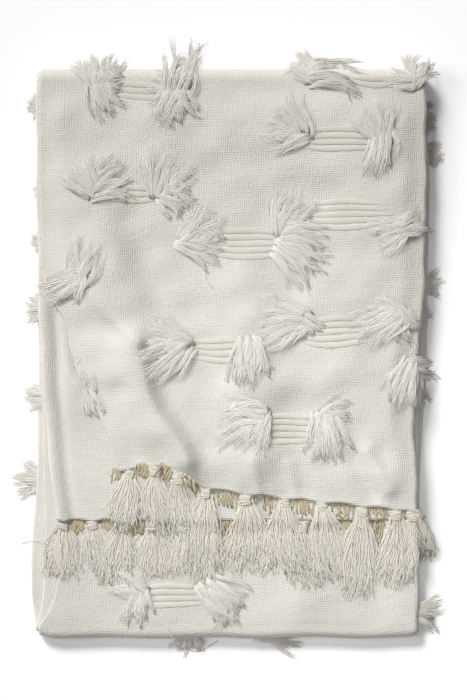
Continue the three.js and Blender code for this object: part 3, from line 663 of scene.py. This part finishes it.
def yarn_mesh(name, bundles, uv_name):
    """Joined tubes of yarn. A bundle has points by yarn and step, half widths, flattening and sides."""
    points_list, faces_list, uv_list, shade_list = [], [], [], []
    start = 0
    chance = np.random.default_rng(len(name) + 17 * len(bundles))
    for points, half_width, flattening, sides, reference, *given in bundles:
        yarns, steps, _ = points.shape
        tangent = np.gradient(points, axis=1)
        tangent /= np.maximum(np.linalg.norm(tangent, axis=2, keepdims=True), 1e-9)
        aside = np.cross(tangent, reference)
        aside /= np.maximum(np.linalg.norm(aside, axis=2, keepdims=True), 1e-9)
        across = np.cross(tangent, aside)
        angle = 2 * math.pi * np.arange(sides) / sides
        width = np.broadcast_to(half_width, (yarns, steps))[:, :, None, None]
        flat = np.broadcast_to(flattening, (yarns, steps))[:, :, None, None]
        ring = np.cos(angle)[:, None] * aside[:, :, None]
        ring = ring + flat * np.sin(angle)[:, None] * across[:, :, None]
        points_list.append((points[:, :, None] + width * ring).reshape(-1, 3))
        index = start + np.arange(yarns * steps * sides).reshape(yarns, steps, sides)
        beside = np.roll(index, -1, axis=2)
        faces_list.append(quads(index[:, :-1], beside[:, :-1], beside[:, 1:], index[:, 1:]))
        lengths = np.linalg.norm(np.diff(points, axis=1), axis=2)
        along = np.pad(np.cumsum(lengths, axis=1), ((0, 0), (1, 0))) * MILLIMETRE
        along = np.broadcast_to(along[:, :, None], (yarns, steps, sides))
        girth = 2 * math.pi * np.mean(half_width) * MILLIMETRE
        around = np.broadcast_to(np.arange(sides) / sides * girth, (yarns, steps, sides))
        step_round = girth / sides
        uv_list.append(np.stack([
            np.stack([along[:, :-1], around[:, :-1]], axis=-1),
            np.stack([along[:, :-1], around[:, :-1] + step_round], axis=-1),
            np.stack([along[:, 1:], around[:, 1:] + step_round], axis=-1),
            np.stack([along[:, 1:], around[:, 1:]], axis=-1),
        ], axis=3).reshape(-1, 2))
        for corner in range(1, sides - 2, 2):
            last, first = index[:, -1], index[:, 0]
            tip = quads(last[:, 0], last[:, corner], last[:, corner + 1], last[:, corner + 2])
            root = quads(first[:, 0], first[:, corner + 2], first[:, corner + 1], first[:, corner])
            faces_list += [tip, root]
            uv_list.append(np.zeros((4 * len(tip) + 4 * len(root), 2)))
        shade = np.full(yarns, given[0]) if given else chance.random(yarns)
        shade_list.append(np.repeat(shade, steps * sides))
        start += yarns * steps * sides
    return joined_mesh(
        name, np.concatenate(points_list), np.concatenate(faces_list), uv_name,
        np.concatenate(uv_list), np.concatenate(shade_list),
    )


def lock_paths(root, heading, opening, reach, curl, sweep, chance):
    """The plan of one lobe: its locks' middle lines, the way they head, and each lock's place across."""
    locks = round(reach / REACH_A_LOCK + opening / DEGREES_A_LOCK)
    spread = (np.arange(locks) + chance.random(locks)) / locks - 0.5
    chance.shuffle(spread)
    spread = spread[:, None]
    share = np.linspace(0, 1, LOCK_STEPS)[None, :]
    curls = curl + chance.normal(0, CURL_SPREAD, (locks, 1))
    opened = FAN_SHARE * opening * spread
    first = heading + OPEN_AT_ROOT * opened - CURL_BEFORE * curls
    strayed = chance.normal(0, HEADING_SPREAD, (locks, 1))
    last = heading + opened + strayed + (1 - CURL_BEFORE) * curls
    bend = np.sin(2 * math.pi * (BEND_TURNS * share + chance.random((locks, 1))))
    way = mix(first, last, share) + chance.normal(0, BEND_SPREAD, (locks, 1)) * bend
    way = np.radians(way + sweep * np.sin(math.pi * share))
    length = reach * chance.uniform(*LOCK_LENGTHS, (locks, 1))
    length = length * (1 - SIDE_SHORTENING * np.abs(2 * spread) ** 3)
    behind = ROOT_BEHIND * chance.random((locks, 1))
    step = (length + behind) / (LOCK_STEPS - 1)
    aside = ROOT_SHARE * reach * 2 * spread
    ahead_x, ahead_y = math.cos(math.radians(heading)), math.sin(math.radians(heading))
    x = root[0] - ahead_x * behind - ahead_y * aside
    y = root[1] - ahead_y * behind + ahead_x * aside
    x = x + np.pad(np.cumsum(np.cos(way[:, 1:]) * step, axis=1), ((0, 0), (1, 0)))
    y = y + np.pad(np.cumsum(np.sin(way[:, 1:]) * step, axis=1), ((0, 0), (1, 0)))
    return x, y, way, spread


def lock_width(share, tip):
    """A lock's half width along its length: fullest near the middle, and drawn in to the tip's share."""
    swell = 0.6 + 0.4 * np.sin(math.pi / 2 * np.minimum(share / 0.35, 1))
    return swell * (tip + (1 - tip) * np.sqrt(1.0 - np.clip((share - 0.5) / 0.5, 0, 1) ** 2))


def settled(seat, x, y, start, fall):
    """The height of each lock's underside, which follows the seat but falls no faster than it may."""
    low = seat.copy()
    low[:, 0] = np.maximum(low[:, 0], start)
    for k in range(1, seat.shape[1]):
        step = np.hypot(x[:, k] - x[:, k - 1], y[:, k] - y[:, k - 1])
        low[:, k] = np.maximum(seat[:, k], low[:, k - 1] - fall * step)
    return low


def lock_bundles(x, y, z, way, chance):
    """One lobe's locks: each a thin soft core, and over it fine wavy yarns that run on past its tip."""
    locks = len(x)
    share = np.linspace(0, 1, LOCK_STEPS)[None, :]
    full = chance.uniform(*LOCK_HALF_WIDTH, (locks, 1))
    z = np.maximum(z, LOCK_FLATNESS * LOCK_HALF_WIDTH[1])
    core_steps = round(CORE_SHARE * LOCK_STEPS)
    core = np.stack([x, y, z], axis=2)[:, :core_steps]
    core_width = CORE_WIDTH * full * np.sin(math.pi * np.linspace(0.06, 0.94, core_steps)) ** 0.7
    bundles = [(core, core_width, LOCK_FLATNESS, 6, UP)]
    shape = (locks, FINE_YARNS, 1)
    across = (np.arange(FINE_YARNS)[None, :, None] + chance.random(shape)) / FINE_YARNS * 2 - 1
    part = chance.uniform(0.8, 1.0, shape) * (1 - 0.12 * across ** 2)
    part = part * np.linspace(0, 1, FINE_STEPS)[None, None, :]
    at = part * (LOCK_STEPS - 1)
    before = np.minimum(at.astype(int), LOCK_STEPS - 2)
    between = at - before
    row = np.arange(locks)[:, None, None]
    half = full[:, :, None] * lock_width(part, 0.75)
    turns = 2 * math.pi * (part * chance.uniform(0.6, 1.4, shape) + chance.random(shape))
    beside = across * half + chance.normal(0, FINE_SCATTER, shape) * part ** 3
    beside = beside + FINE_WAVINESS * np.sin(turns) * np.sqrt(part)
    turned = mix(way[row, before], way[row, before + 1], between)
    yarn_x = mix(x[row, before], x[row, before + 1], between) - np.sin(turned) * beside
    yarn_y = mix(y[row, before], y[row, before + 1], between) + np.cos(turned) * beside
    yarn_z = mix(z[row, before], z[row, before + 1], between)
    yarn_z = yarn_z + LOCK_FLATNESS * half * np.sqrt(np.maximum(1 - across * across, 0))
    yarn_z = yarn_z + FINE_LIFT * chance.random(shape) * (1 + np.cos(turns)) * part * (1.2 - part)
    yarns = np.stack([yarn_x, yarn_y, yarn_z], axis=3).reshape(-1, FINE_STEPS, 3)
    taper = 0.35 + 0.65 * np.linspace(1, 0, FINE_STEPS) ** 0.5
    bundles.append((yarns, FINE_RADIUS * taper, FINE_FLATNESS, 4, UP))
    return bundles


def lobe_swell(share):
    """How full a lobe is along its length: fullest before the middle, flat at the root and at the tips."""
    return np.sin(math.pi * share ** 0.7)


def pad_bundles(root, heading, opening, reach, curl, sweep):
    """The matted yarn inside a lobe: one flat pad, or a few side by side where the lobe opens wide."""
    pads = math.ceil(opening / PAD_OPENING)
    share = np.linspace(0, PAD_END, LOCK_STEPS)
    bundles = []
    for pad in range(pads):
        turned = heading + FAN_SHARE * opening * ((pad + 0.5) / pads - 0.5)
        way = np.radians(turned + curl * (share - CURL_BEFORE) + sweep * np.sin(math.pi * share))
        step = reach * share[1]
        x = root[0] + np.concatenate([[0], np.cumsum(np.cos(way[1:]) * step)])
        y = root[1] + np.concatenate([[0], np.cumsum(np.sin(way[1:]) * step)])
        grown = share * reach * math.tan(math.radians(FAN_SHARE * opening / pads / 2))
        half = (0.6 * ROOT_SHARE * reach + 0.5 * grown) * np.sqrt(1.02 - (share / PAD_END) ** 4)
        thick = 0.3 * PAD_SHARE * reach * lobe_swell(share) + 0.3
        z = np.maximum(seat_under(x, y) + 0.7 * thick, thick)
        bundles.append((np.stack([x, y, z], axis=1)[None], half, thick / half, PAD_SIDES, UP))
    return bundles


def tuft_bundles(tufts, chance):
    """The lobes of a motif's tufts, each a pad on the cloth with its locks over it."""
    bundles = []
    share = np.linspace(0, 1, LOCK_STEPS)[None, :]
    for root_x, root_y, lobes in tufts:
        for heading, opening, reach, curl in lobes:
            sweep = chance.normal(0, LOBE_SWEEP)
            lobe = (root_x, root_y), heading, opening, reach, curl, sweep
            bundles += pad_bundles(*lobe)
            x, y, way, spread = lock_paths(*lobe, chance)
            low = settled(seat_under(x, y), x, y, 0, LOCK_FALL)
            rise = LOBE_LIFT * PAD_SHARE * reach * lobe_swell(share)
            rise = rise * np.sqrt(1 - (LOBE_ROUNDNESS * spread) ** 2)
            z = low + LOCK_CLEAR + rise + chance.random((len(x), 1)) * np.sin(math.pi * share)
            bundles += lock_bundles(x, y, z, way, chance)
    return bundles


# Hand-spun tuft yarn: loosely twisted cotton, cut, washed and fluffed until the yarns of a lock cling
# together. The eye sees soft fine lines that run along each lock, hardly darker than the cloth, with a little
# painted shade in the grooves between them.
TUFT_IVORY = "#D3CFC7"
LINE_WIDTH = 1.8
LINE_LENGTH = 26
LINE_DEPTH = 0.8
SHADE_SHARE = 0.35
FUZZ = 1.2
LIGHT_PASSED = 0.9
tuft_yarn = bpy.data.materials.new("handspun_cotton_yarn")
tuft_yarn.use_nodes = True


def finish_yarn(material, colour, painted_shade_colour, darkest, lightest, line_length):
    """Gives a yarn its lines, its tones and its fuzz. Below 0 a yarn's shade mixes in the shade colour:
    painted shade.
    """
    surface = material.node_tree.nodes["Principled BSDF"]
    place = add_node(material, "ShaderNodeUVMap", {"uv_map": "yarn"}, {}).outputs[0]
    stretched = add_node(
        material, "ShaderNodeMapping", {},
        {"Vector": place, "Scale": (1 / line_length / MILLIMETRE, 1 / LINE_WIDTH / MILLIMETRE, 1)},
    )
    lines = add_node(
        material, "ShaderNodeTexNoise", {}, {"Vector": stretched.outputs[0], "Scale": 1, "Detail": 3}
    )
    bump = add_node(
        material, "ShaderNodeBump", {},
        {"Strength": 0.5, "Distance": LINE_DEPTH * MILLIMETRE, "Height": lines.outputs[0]},
    )
    shade = add_node(material, "ShaderNodeAttribute", {"attribute_name": "shade"}, {})
    # The tone follows the same lines as the bump, so each groove is painted a little darker: painted shade.
    # The shade attribute adds each yarn's own random tone.
    uneven = add_node(material, "ShaderNodeMath", {"operation": "MULTIPLY_ADD"}, {
        0: shade.outputs["Fac"], 1: SHADE_SHARE, 2: lines.outputs[0],
    })
    value = add_node(
        material, "ShaderNodeMapRange", {},
        {"Value": uneven.outputs[0], 1: 0.35, 2: 1.0, 3: darkest, 4: lightest},
    )
    deep = add_node(
        material, "ShaderNodeMapRange", {}, {"Value": shade.outputs["Fac"], 1: -1, 2: 0, 3: 1, 4: 0}
    )
    colour_with_painted_shade = add_node(
        material, "ShaderNodeMix", {"data_type": "RGBA"},
        {0: deep.outputs[0], 6: linear(colour), 7: linear(painted_shade_colour)},
    )
    tinted = add_node(
        material, "ShaderNodeHueSaturation", {}, {"Value": value.outputs[0], "Color": colour_with_painted_shade.outputs[2]}
    )
    material.node_tree.links.new(tinted.outputs[0], surface.inputs["Base Color"])
    # The fuzz of loose fibre takes light all round, so that a yarn's sides look nearly as light as its top
    fuzzy = add_node(
        material, "ShaderNodeVectorMath", {"operation": "ADD"}, {0: bump.outputs[0], 1: (0, 0, FUZZ)}
    )
    softened = add_node(material, "ShaderNodeVectorMath", {"operation": "NORMALIZE"}, {0: fuzzy.outputs[0]})
    material.node_tree.links.new(softened.outputs[0], surface.inputs["Normal"])
    surface.inputs["Roughness"].default_value = 0.95
    surface.inputs["Specular IOR Level"].default_value = 0.15
    surface.inputs["Sheen Weight"].default_value = 0.2
    surface.inputs["Sheen Roughness"].default_value = 0.5
    # Loose cotton is thin enough to let part of the light through, so a yarn's shadow stays weak
    path = add_node(material, "ShaderNodeLightPath", {}, {})
    passed = add_node(material, "ShaderNodeBsdfTransparent", {}, {"Color": (*[LIGHT_PASSED] * 3, 1)})
    loose = add_node(material, "ShaderNodeMixShader", {}, {
        0: path.outputs["Is Shadow Ray"], 1: surface.outputs[0], 2: passed.outputs[0],
    })
    shown = material.node_tree.nodes["Material Output"]
    material.node_tree.links.new(loose.outputs[0], shown.inputs["Surface"])


finish_yarn(tuft_yarn, TUFT_IVORY, TUFT_IVORY, 0.95, 1.03, LINE_LENGTH)

# Soft weft of the ribs: the same yarn, beaten into the weave. The eye sees short slubs, close together and a
# little dimmer than the tufts.
WEFT_IVORY = "#CBC7BD"
SLUB_PITCH = 9
soft_weft = bpy.data.materials.new("soft_cotton_weft")
soft_weft.use_nodes = True
finish_yarn(soft_weft, WEFT_IVORY, WEFT_IVORY, 0.93, 1.03, SLUB_PITCH)

for order, (name, (ribs, tufts)) in enumerate(MOTIFS.items()):
    chance = np.random.default_rng(100 + order)
    tuft_piece = yarn_mesh(name + "_yarns", tuft_bundles(tufts, chance), "yarn")
    tuft_piece.data.materials.append(tuft_yarn)
    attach(tuft_piece, "root")
    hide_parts(name)
    if ribs is None:
        continue
    count, middle_y = ribs
    start_x, end_x = RIB_ENDS.get(name, (tufts[0][0], tufts[1][0]))
    share = np.linspace(0, 1, RIB_STEPS)[None, :]
    row = (np.arange(count) - (count - 1) / 2)[:, None]
    x = mix(start_x + chance.uniform(-6, 4, (count, 1)), end_x + chance.uniform(-4, 6, (count, 1)), share)
    lean = mix(tufts[0][1], tufts[1][1], share) - (tufts[0][1] + tufts[1][1]) / 2
    sway = RIB_SWAY * np.sin(2 * math.pi * (share * 1.2 + order * 0.31) + row * 0.5)
    narrowing = 1 - RIB_NARROWING * (2 * share - 1) ** 2
    y = middle_y + RIB_LEAN * lean + row * RIB_PITCH * narrowing + sway
    z = seat_under(x, y) + RIB_LIFT
    swell = np.sin(math.pi * np.clip(share, 0.02, 0.98)) ** 0.6
    slubs = 1 + RIB_UNEVENNESS * chance.normal(0, 1, (count, RIB_STEPS))
    thick = RIB_WIDTH / 2 * narrowing * swell * slubs
    rib_points = np.stack([x, y, z], axis=2)
    rib_piece = yarn_mesh(
        name.replace("motif", "ribs"), [(rib_points, thick, RIB_HEIGHT / RIB_WIDTH, RIB_SIDES, UP)], "yarn"
    )
    rib_piece.data.materials.append(soft_weft)
    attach(rib_piece, "root")


# Tufts of the inner plies that stick out between the folds at the sides and at the foot. They are the same
# cut yarn, squashed flat at the root by the plies, and their loose ends droop towards the floor.
EDGE_TUFTS = {
    "edge_tuft_left_1": ("left", 274, "top", 12, 120),
    "edge_tuft_left_2": ("left", 180, "mid", 13, 90),
    "edge_tuft_left_3": ("left", 125, "top", 11, 110),
    "edge_tuft_left_4": ("left", 50, "mid", 24, 100),
    "edge_tuft_left_5": ("left", -48, "mid", 22, 90),
    "edge_tuft_left_6": ("left", -140, "under", 32, 110),
    "edge_tuft_right_1": ("right", 262, "mid", 24, 100),
    "edge_tuft_right_2": ("right", 222, "under", 20, 90),
    "edge_tuft_right_3": ("right", 78, "under", 22, 80),
    "edge_tuft_right_4": ("right", 46, "mid", 18, 80),
    "edge_tuft_right_5": ("right", -288, "mid", 36, 70),
    "edge_tuft_foot_1": ("foot", -46, "mid", 24, 110),
    "edge_tuft_foot_2": ("foot", 34, "mid", 46, 16),
}
EDGE_FALL = 0.45
EDGE_DEPTH = 5
EDGE_OPENING = 0.8
EDGE_SPLAY = 7
EDGE_TURNED = {"edge_tuft_foot_2": 76}
OUTWARD = {"left": (-1, 0), "right": (1, 0), "foot": (0, -1)}
TURN_RISE = {"left": PLY_PITCH / 2, "right": PLY_PITCH}
LAYER_Z = {"top": TOP_Z, "mid": MID_Z, "under": UNDER_Z}
for order, (name, (edge, along, layer, reach, opening)) in enumerate(EDGE_TUFTS.items()):
    chance = np.random.default_rng(200 + order)
    out = np.array([*OUTWARD[edge], 0.0])
    if edge == "foot":
        level_point = np.array([along, 0, FOOT_Z])
    else:
        side = -1 if layer == "under" else 1
        level_point = np.array([0, along, LAYER_Z[layer] + side * TURN_RISE[edge]])
    met = outside.ray_cast(Vector(level_point + out * HIGH_ABOVE), Vector(-out))[0]
    root = np.array(met) - out * EDGE_DEPTH
    heading = math.degrees(math.atan2(out[1], out[0])) + EDGE_TURNED.get(name, 0)
    reached = reach + EDGE_DEPTH
    x, y, way, _ = lock_paths(root[:2], heading, EDGE_OPENING * opening, reached, 0, 0, chance)
    share = np.linspace(0, 1, LOCK_STEPS)[None, :]
    high = chance.uniform(-0.5, 0.5, (len(x), 1))
    height = root[2] + high * (1 + EDGE_SPLAY * share) - EDGE_FALL * reached * share ** 2
    z = np.maximum(height, LOCK_HALF_WIDTH[1] * LOCK_FLATNESS)
    edge_piece = yarn_mesh(name + "_yarns", lock_bundles(x, y, z, way, chance), "yarn")
    edge_piece.data.materials.append(tuft_yarn)
    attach(edge_piece, "root")
    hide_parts(name)


# The knotted fringe of the near hem: the warp yarns of each ply are gathered in groups, tied with an
# overhand knot close under the hem and left to hang as a tassel of crinkled yarns.
COVER_TASSELS = [
    (-112, -97, 64, 16), (-84, -86, 76, 17), (-58, -82, 68, 16), (-28, -96, 82, 19), (16, -86, 70, 20),
    (59, -93, 78, 20), (101, -83, 84, 20), (145, -94, 94, 19), (182, -83, 80, 17), (200, -66, 54, 13),
]
EVEN_TASSELS = 12
EVEN_HALF_WIDTH = 18
EVEN_HEADING = -90
TURN_CLEAR = 5
TASSEL_STEPS = 13
TASSEL_FALL = 0.4
TASSEL_LOFT = 1.4
TASSEL_LENGTHS = (0.66, 1.08)
TASSEL_CURVE = 13
TASSEL_SWING = 4.6
TASSEL_STRAY = 4
TASSEL_RIPPLE = 1.1
TASSEL_CORE = 0.62
TASSEL_CORE_FLATNESS = 0.07
WAIST = 6.2
YARN_RADIUS = 0.9
YARN_FLATNESS = 0.55
KNOT_DROP = 3.5
KNOT_HALF_LENGTH = 6.5
KNOT_FLATNESS = 0.4
KNOT_STEPS = 7
KNOT_WRAPS = 7
WRAP_SPAN = 4
WRAP_RADIUS = 1.0
GATHERED_YARNS = 16
GATHER_STEPS = 5
HEM_OVERLAP = 4
SHADE_BROWN_YARNS = 34
SHADE_BROWN_SPAN = 1.2
SHADE_BROWN_DROP = 1.2
CLOSED_GAP = 9
even_x = [FIRST_TASSEL_X + TASSEL_PITCH * k for k in range(EVEN_TASSELS)]
# For each ply, its tassels as place, heading, length and half width, the level of its hem, how far its yarns
# lie above what is under them, and how many of them a tassel has
FRINGES = {
    "fringe_back": {
        "tassels": [
            (x, EVEN_HEADING + 9 * math.sin(k * 1.7), 58 - 5.8 * (k % 2), EVEN_HALF_WIDTH)
            for k, x in enumerate(even_x)
        ],
        "level": TOP_Z, "lie": 0.2, "yarns": 14,
    },
    "fringe_inner": {
        "tassels": [
            (
                x, EVEN_HEADING + 16 * math.sin(k * 2.4), 60 + 8 * math.sin(k * 4.1),
                EVEN_HALF_WIDTH + 4 * math.sin(k * 3.3),
            )
            for k, x in enumerate(even_x)
        ],
        "level": TOP_Z + PLY_PITCH, "lie": 1.6, "yarns": 90,
    },
    "fringe_cover": {
        "tassels": COVER_TASSELS, "lie": 3.8, "yarns": 100,
    },
}


def tassel_bundles(knot, heading, reach, half_width, lie, count, chance):
    """One hanging tassel: a thin core, painted a little dim as shade under the yarns, and crinkled yarns that
    spread from the knot and lie on it.
    """
    share = np.linspace(0, 1, TASSEL_STEPS)[None, :]
    across = chance.uniform(-1, 1, (count + 1, 1))
    across[0] = 0
    length = reach * chance.uniform(*TASSEL_LENGTHS, (count + 1, 1)) * (1 - 0.12 * across ** 2)
    length[0] = 0.82 * reach
    way = math.radians(heading) + math.radians(chance.normal(0, TASSEL_CURVE)) * (share - CURL_BEFORE)
    waist = WAIST * chance.uniform(0.85, 1.35)
    half = waist + (half_width - waist) * smooth_step(share, 0.6)
    bend = share * chance.uniform(0.6, 1.8, across.shape) + 2 * chance.random(across.shape)
    stray = chance.normal(0, TASSEL_STRAY, across.shape) * share ** 3
    swing = TASSEL_SWING * share * np.sin(math.pi * bend) + stray
    kink = share * chance.uniform(2.2, 4.2, across.shape) + chance.random(across.shape)
    ripple = TASSEL_RIPPLE * np.sqrt(share) * np.sin(2 * math.pi * kink)
    beside = across * half + (swing + ripple) * (across != 0)
    x = knot[0] + length * share * np.cos(way) - np.sin(way) * beside
    y = knot[1] + length * share * np.sin(way) + np.cos(way) * beside
    seat = seat_under(x, y) + lie * smooth_step(share, 0.3)
    low = settled(seat, x, y, knot[2] - 2, TASSEL_FALL)
    layer = chance.random(across.shape) * (1 - 0.5 * across ** 2)
    layer[0] = 0
    z = low + LOCK_CLEAR + TASSEL_LOFT * layer * np.sin(math.pi * share ** 0.6 * 0.92) + layer
    points = np.stack([x, y, z], axis=2)
    core_width = TASSEL_CORE * half * np.sqrt(1.02 - share ** 4)
    # The core takes a little of the shade colour: painted shade under the yarns.
    core = (points[:1], core_width, TASSEL_CORE_FLATNESS, 8, UP, -0.1)
    taper = 0.5 + 0.5 * np.linspace(1, 0, TASSEL_STEPS) ** 0.4
    return [core, (points[1:], YARN_RADIUS * taper, YARN_FLATNESS, 4, UP)]


def knot_bundles(knot, heading, chance):
    """An overhand knot: a soft lump with slanting turns of yarn across it."""
    way = math.radians(heading)
    ahead = np.array([math.cos(way), math.sin(way), 0])
    aside = np.array([-math.sin(way), math.cos(way), 0])
    share = np.linspace(-1, 1, KNOT_STEPS)
    lump = knot + KNOT_HALF_LENGTH * share[:, None] * ahead
    size = chance.uniform(0.85, 1.2)
    lump_width = size * (WAIST - 0.4) * np.sqrt(1.02 - share ** 2)
    bundles = [(lump[None], lump_width, KNOT_FLATNESS, 8, UP, 0.0)]
    at = np.linspace(-WRAP_SPAN, WRAP_SPAN, KNOT_WRAPS)[:, None] + chance.normal(0, 0.8, (KNOT_WRAPS, 1))
    slant = chance.normal(0.25, 0.2, (KNOT_WRAPS, 1))
    wide = size * WAIST * np.sqrt(1 - (at / (2 * WRAP_SPAN)) ** 2)
    over = share[None, :] * wide
    along = at + slant * over
    points = knot + over[..., None] * aside + along[..., None] * ahead
    points[..., 2] += KNOT_FLATNESS * wide * np.sqrt(1.02 - share ** 2) - 0.2
    bundles.append((points, WRAP_RADIUS, YARN_FLATNESS, 4, UP))
    return bundles


# Warp yarn of the fringe: the same cotton, unwoven and kinked from the loom. The eye sees short crimps and a
# slightly warmer tone. Its straw-brown second colour is painted shade in the gaps by the knots and under the
# yarns, partly the tone of unbleached yarn.
FRINGE_IVORY = "#CBC7BB"
UNBLEACHED_AND_SHADE_BROWN = "#B7AB91"
CRIMP_LENGTH = 3
fringe_yarn = bpy.data.materials.new("kinked_cotton_warp")
fringe_yarn.use_nodes = True
finish_yarn(fringe_yarn, FRINGE_IVORY, UNBLEACHED_AND_SHADE_BROWN, 0.94, 1.03, CRIMP_LENGTH)

hem_left = -HALF_WIDTH + STRIP_EDGES["top"][0][2] + TURN_CLEAR
hem_right = HALF_WIDTH - STRIP_EDGES["top"][0][3]
for order, (name, fringe) in enumerate(FRINGES.items()):
    chance = np.random.default_rng(300 + order)
    bundles = []
    for knot_x, heading, reach, half_width in fringe["tassels"]:
        if name == "fringe_cover":
            hem_y = float(hem_line(np.array([knot_x]))[0])
            cloth_z = seat_under(np.array([knot_x]), np.array([hem_y + HEM_OVERLAP]))
            hem_z = float(cloth_z[0]) - THICKNESS / 2
        else:
            hem_y = INNER_HEM_Y if name == "fringe_inner" else BACK_HEM_Y
            hem_z = fringe["level"]
        knot = np.array([knot_x, hem_y - KNOT_DROP * chance.uniform(0.5, 1.8), hem_z - 0.5])
        # Warp yarns drawn together from the hem into the knot
        from_x = 0.5 * np.linspace(-half_width, half_width, GATHERED_YARNS)
        from_x = from_x + chance.normal(0, 0.8, GATHERED_YARNS)
        from_x = np.clip(knot_x + from_x, hem_left, hem_right)
        share = np.linspace(0, 1, GATHER_STEPS)[None, :]
        gather_y = hem_line(from_x) if name == "fringe_cover" else hem_y + 0 * from_x
        x = mix(from_x[:, None], knot_x + chance.normal(0, 2.6, (GATHERED_YARNS, 1)), share ** 1.3)
        y = mix(gather_y[:, None] + HEM_OVERLAP, knot[1], share)
        into_z = knot[2] + chance.normal(0, 0.7, (GATHERED_YARNS, 1))
        z = mix(hem_z - 0.6 + 0 * from_x[:, None], into_z, share)
        gathered = np.stack([x, y, z], axis=2)
        bundles.append((gathered, YARN_RADIUS, 1.0, 4, UP))
        # Below them, in the gaps beside the knot, short straw-brown ends that lie where the hem's shade
        # falls: painted shade, partly the tone of unbleached yarn
        span = SHADE_BROWN_SPAN * half_width
        from_x = np.clip(knot_x + chance.uniform(-span, span, SHADE_BROWN_YARNS), hem_left, hem_right)
        gather_y = hem_line(from_x) if name == "fringe_cover" else hem_y + 0 * from_x
        strayed = from_x + chance.normal(0, 5, SHADE_BROWN_YARNS)
        x = mix(from_x[:, None], strayed[:, None], share)
        fallen = (half_width - CLOSED_GAP) * chance.uniform(0.6, 2.0, (SHADE_BROWN_YARNS, 1))
        y = mix(gather_y[:, None] + HEM_OVERLAP, gather_y[:, None] - fallen, share)
        z = mix(hem_z - SHADE_BROWN_DROP + 0 * x, knot[2] - 2.5, share)
        z = np.minimum(np.maximum(z, seat_under(x, y) + LOCK_CLEAR), hem_z - SHADE_BROWN_DROP)
        bundles.append((np.stack([x, y, z], axis=2), YARN_RADIUS, 1.0, 4, UP, -1.0))
        bundles += knot_bundles(knot, heading, chance)
        bundles += tassel_bundles(knot, heading, reach, half_width, fringe["lie"], fringe["yarns"], chance)
    fringe_piece = yarn_mesh(name + "_yarns", bundles, "yarn")
    fringe_piece.data.materials.append(fringe_yarn)
    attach(fringe_piece, "root")
    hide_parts(name)


# Loose threads: single ends of weft that were neither woven in nor cut short. They are the yarn of the
# tufts, and they lie where they fell, on the cloth and over its edges.
LOOSE_THREADS = [
    [(-33, 104), (-29, 92), (-27, 82), (-20, 72)],
    [(-176, 0), (-166, -6), (-173, -14), (-162, -20), (-166, -28), (-157, -36)],
    [(-72, -300), (-60, -322), (-38, -332), (-14, -320)],
    [(-206, -210), (-220, -208), (-233, -212)],
    [(206, -16), (222, -20), (234, -28)],
]
THREAD_STEPS = 17
THREAD_RADIUS = 0.7
THREAD_FALL = 0.6
bundles = []
for line in LOOSE_THREADS:
    corners = np.array(line, float)
    at = np.linspace(0, len(line) - 1, THREAD_STEPS)
    x, y = (through(np.arange(len(line)), corners[:, column], at)[None] for column in (0, 1))
    z = settled(seat_under(x, y), x, y, 0, THREAD_FALL) + THREAD_RADIUS
    bundles.append((np.stack([x, y, z], axis=2), THREAD_RADIUS, 1.0, 4, UP))
thread_piece = yarn_mesh("loose_threads", bundles, "yarn")
thread_piece.data.materials.append(tuft_yarn)
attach(thread_piece, "root")


# The floor: a plain white matt sheet of studio paper, wide enough to reach past every view. It glows very
# faintly, as paper does that takes light from all round.
bpy.ops.mesh.primitive_plane_add(size=12, location=(0, 0, 0))
floor = bpy.context.object
floor.name = "floor"
paper = bpy.data.materials.new("matt_white_paper")
paper.use_nodes = True
paper_surface = paper.node_tree.nodes["Principled BSDF"]
paper_surface.inputs["Base Color"].default_value = linear("#F8F8F8")
paper_surface.inputs["Roughness"].default_value = 1.0
paper_surface.inputs["Specular IOR Level"].default_value = 0.0
paper_surface.inputs["Emission Color"].default_value = linear("#FFFFFF")
paper_surface.inputs["Emission Strength"].default_value = 0.05
floor.data.materials.append(paper)


# Light: an even white surround for the fill, a soft box far off behind the head fold, which draws the shadows
# at the foot and on the right, a weaker one low on the left, which draws out the creases, and a soft spot
# over the middle.
scene = bpy.context.scene
scene.view_settings.view_transform = "Standard"
surround = bpy.data.worlds.new("white_studio")
surround.use_nodes = True
surround.node_tree.nodes["Background"].inputs["Color"].default_value = linear("#FFFFFF")
surround.node_tree.nodes["Background"].inputs["Strength"].default_value = 0.15
scene.world = surround
SOFTNESS = 18
FAR_LIGHTS = {
    "head_light": ((-1.18, 2.0, 1.7), 3.52),
    "left_light": ((-2.3, 0.2, 1.5), 0.95),
}
for name, (towards, strength) in FAR_LIGHTS.items():
    light = bpy.data.lights.new(name, "SUN")
    light.angle = math.radians(SOFTNESS)
    light.energy = strength
    light_object = bpy.data.objects.new(name, light)
    light_object.rotation_euler = Vector(towards).to_track_quat("Z", "Y").to_euler()
    scene.collection.objects.link(light_object)
middle_light = bpy.data.lights.new("middle_light", "SPOT")
middle_light.energy = 16.5
middle_light.spot_size = math.radians(42)
middle_light.spot_blend = 1.0
middle_light.shadow_soft_size = 0.15
middle_object = bpy.data.objects.new("middle_light", middle_light)
middle_object.location = (0.04, -0.11, 1.2)
scene.collection.objects.link(middle_object)


# Camera: straight above the pile, with the head fold at the top of the picture.
PICTURE_HEIGHT = 0.773
CAMERA_DISTANCE = 2.4
SENSOR = 36
camera_data = bpy.data.cameras.new("camera")
camera_data.sensor_width = SENSOR
camera_data.lens = SENSOR * CAMERA_DISTANCE / PICTURE_HEIGHT
camera = bpy.data.objects.new("camera", camera_data)
camera.location = (0.0028, 0.0042, CAMERA_DISTANCE + 0.026)
scene.collection.objects.link(camera)
scene.camera = camera
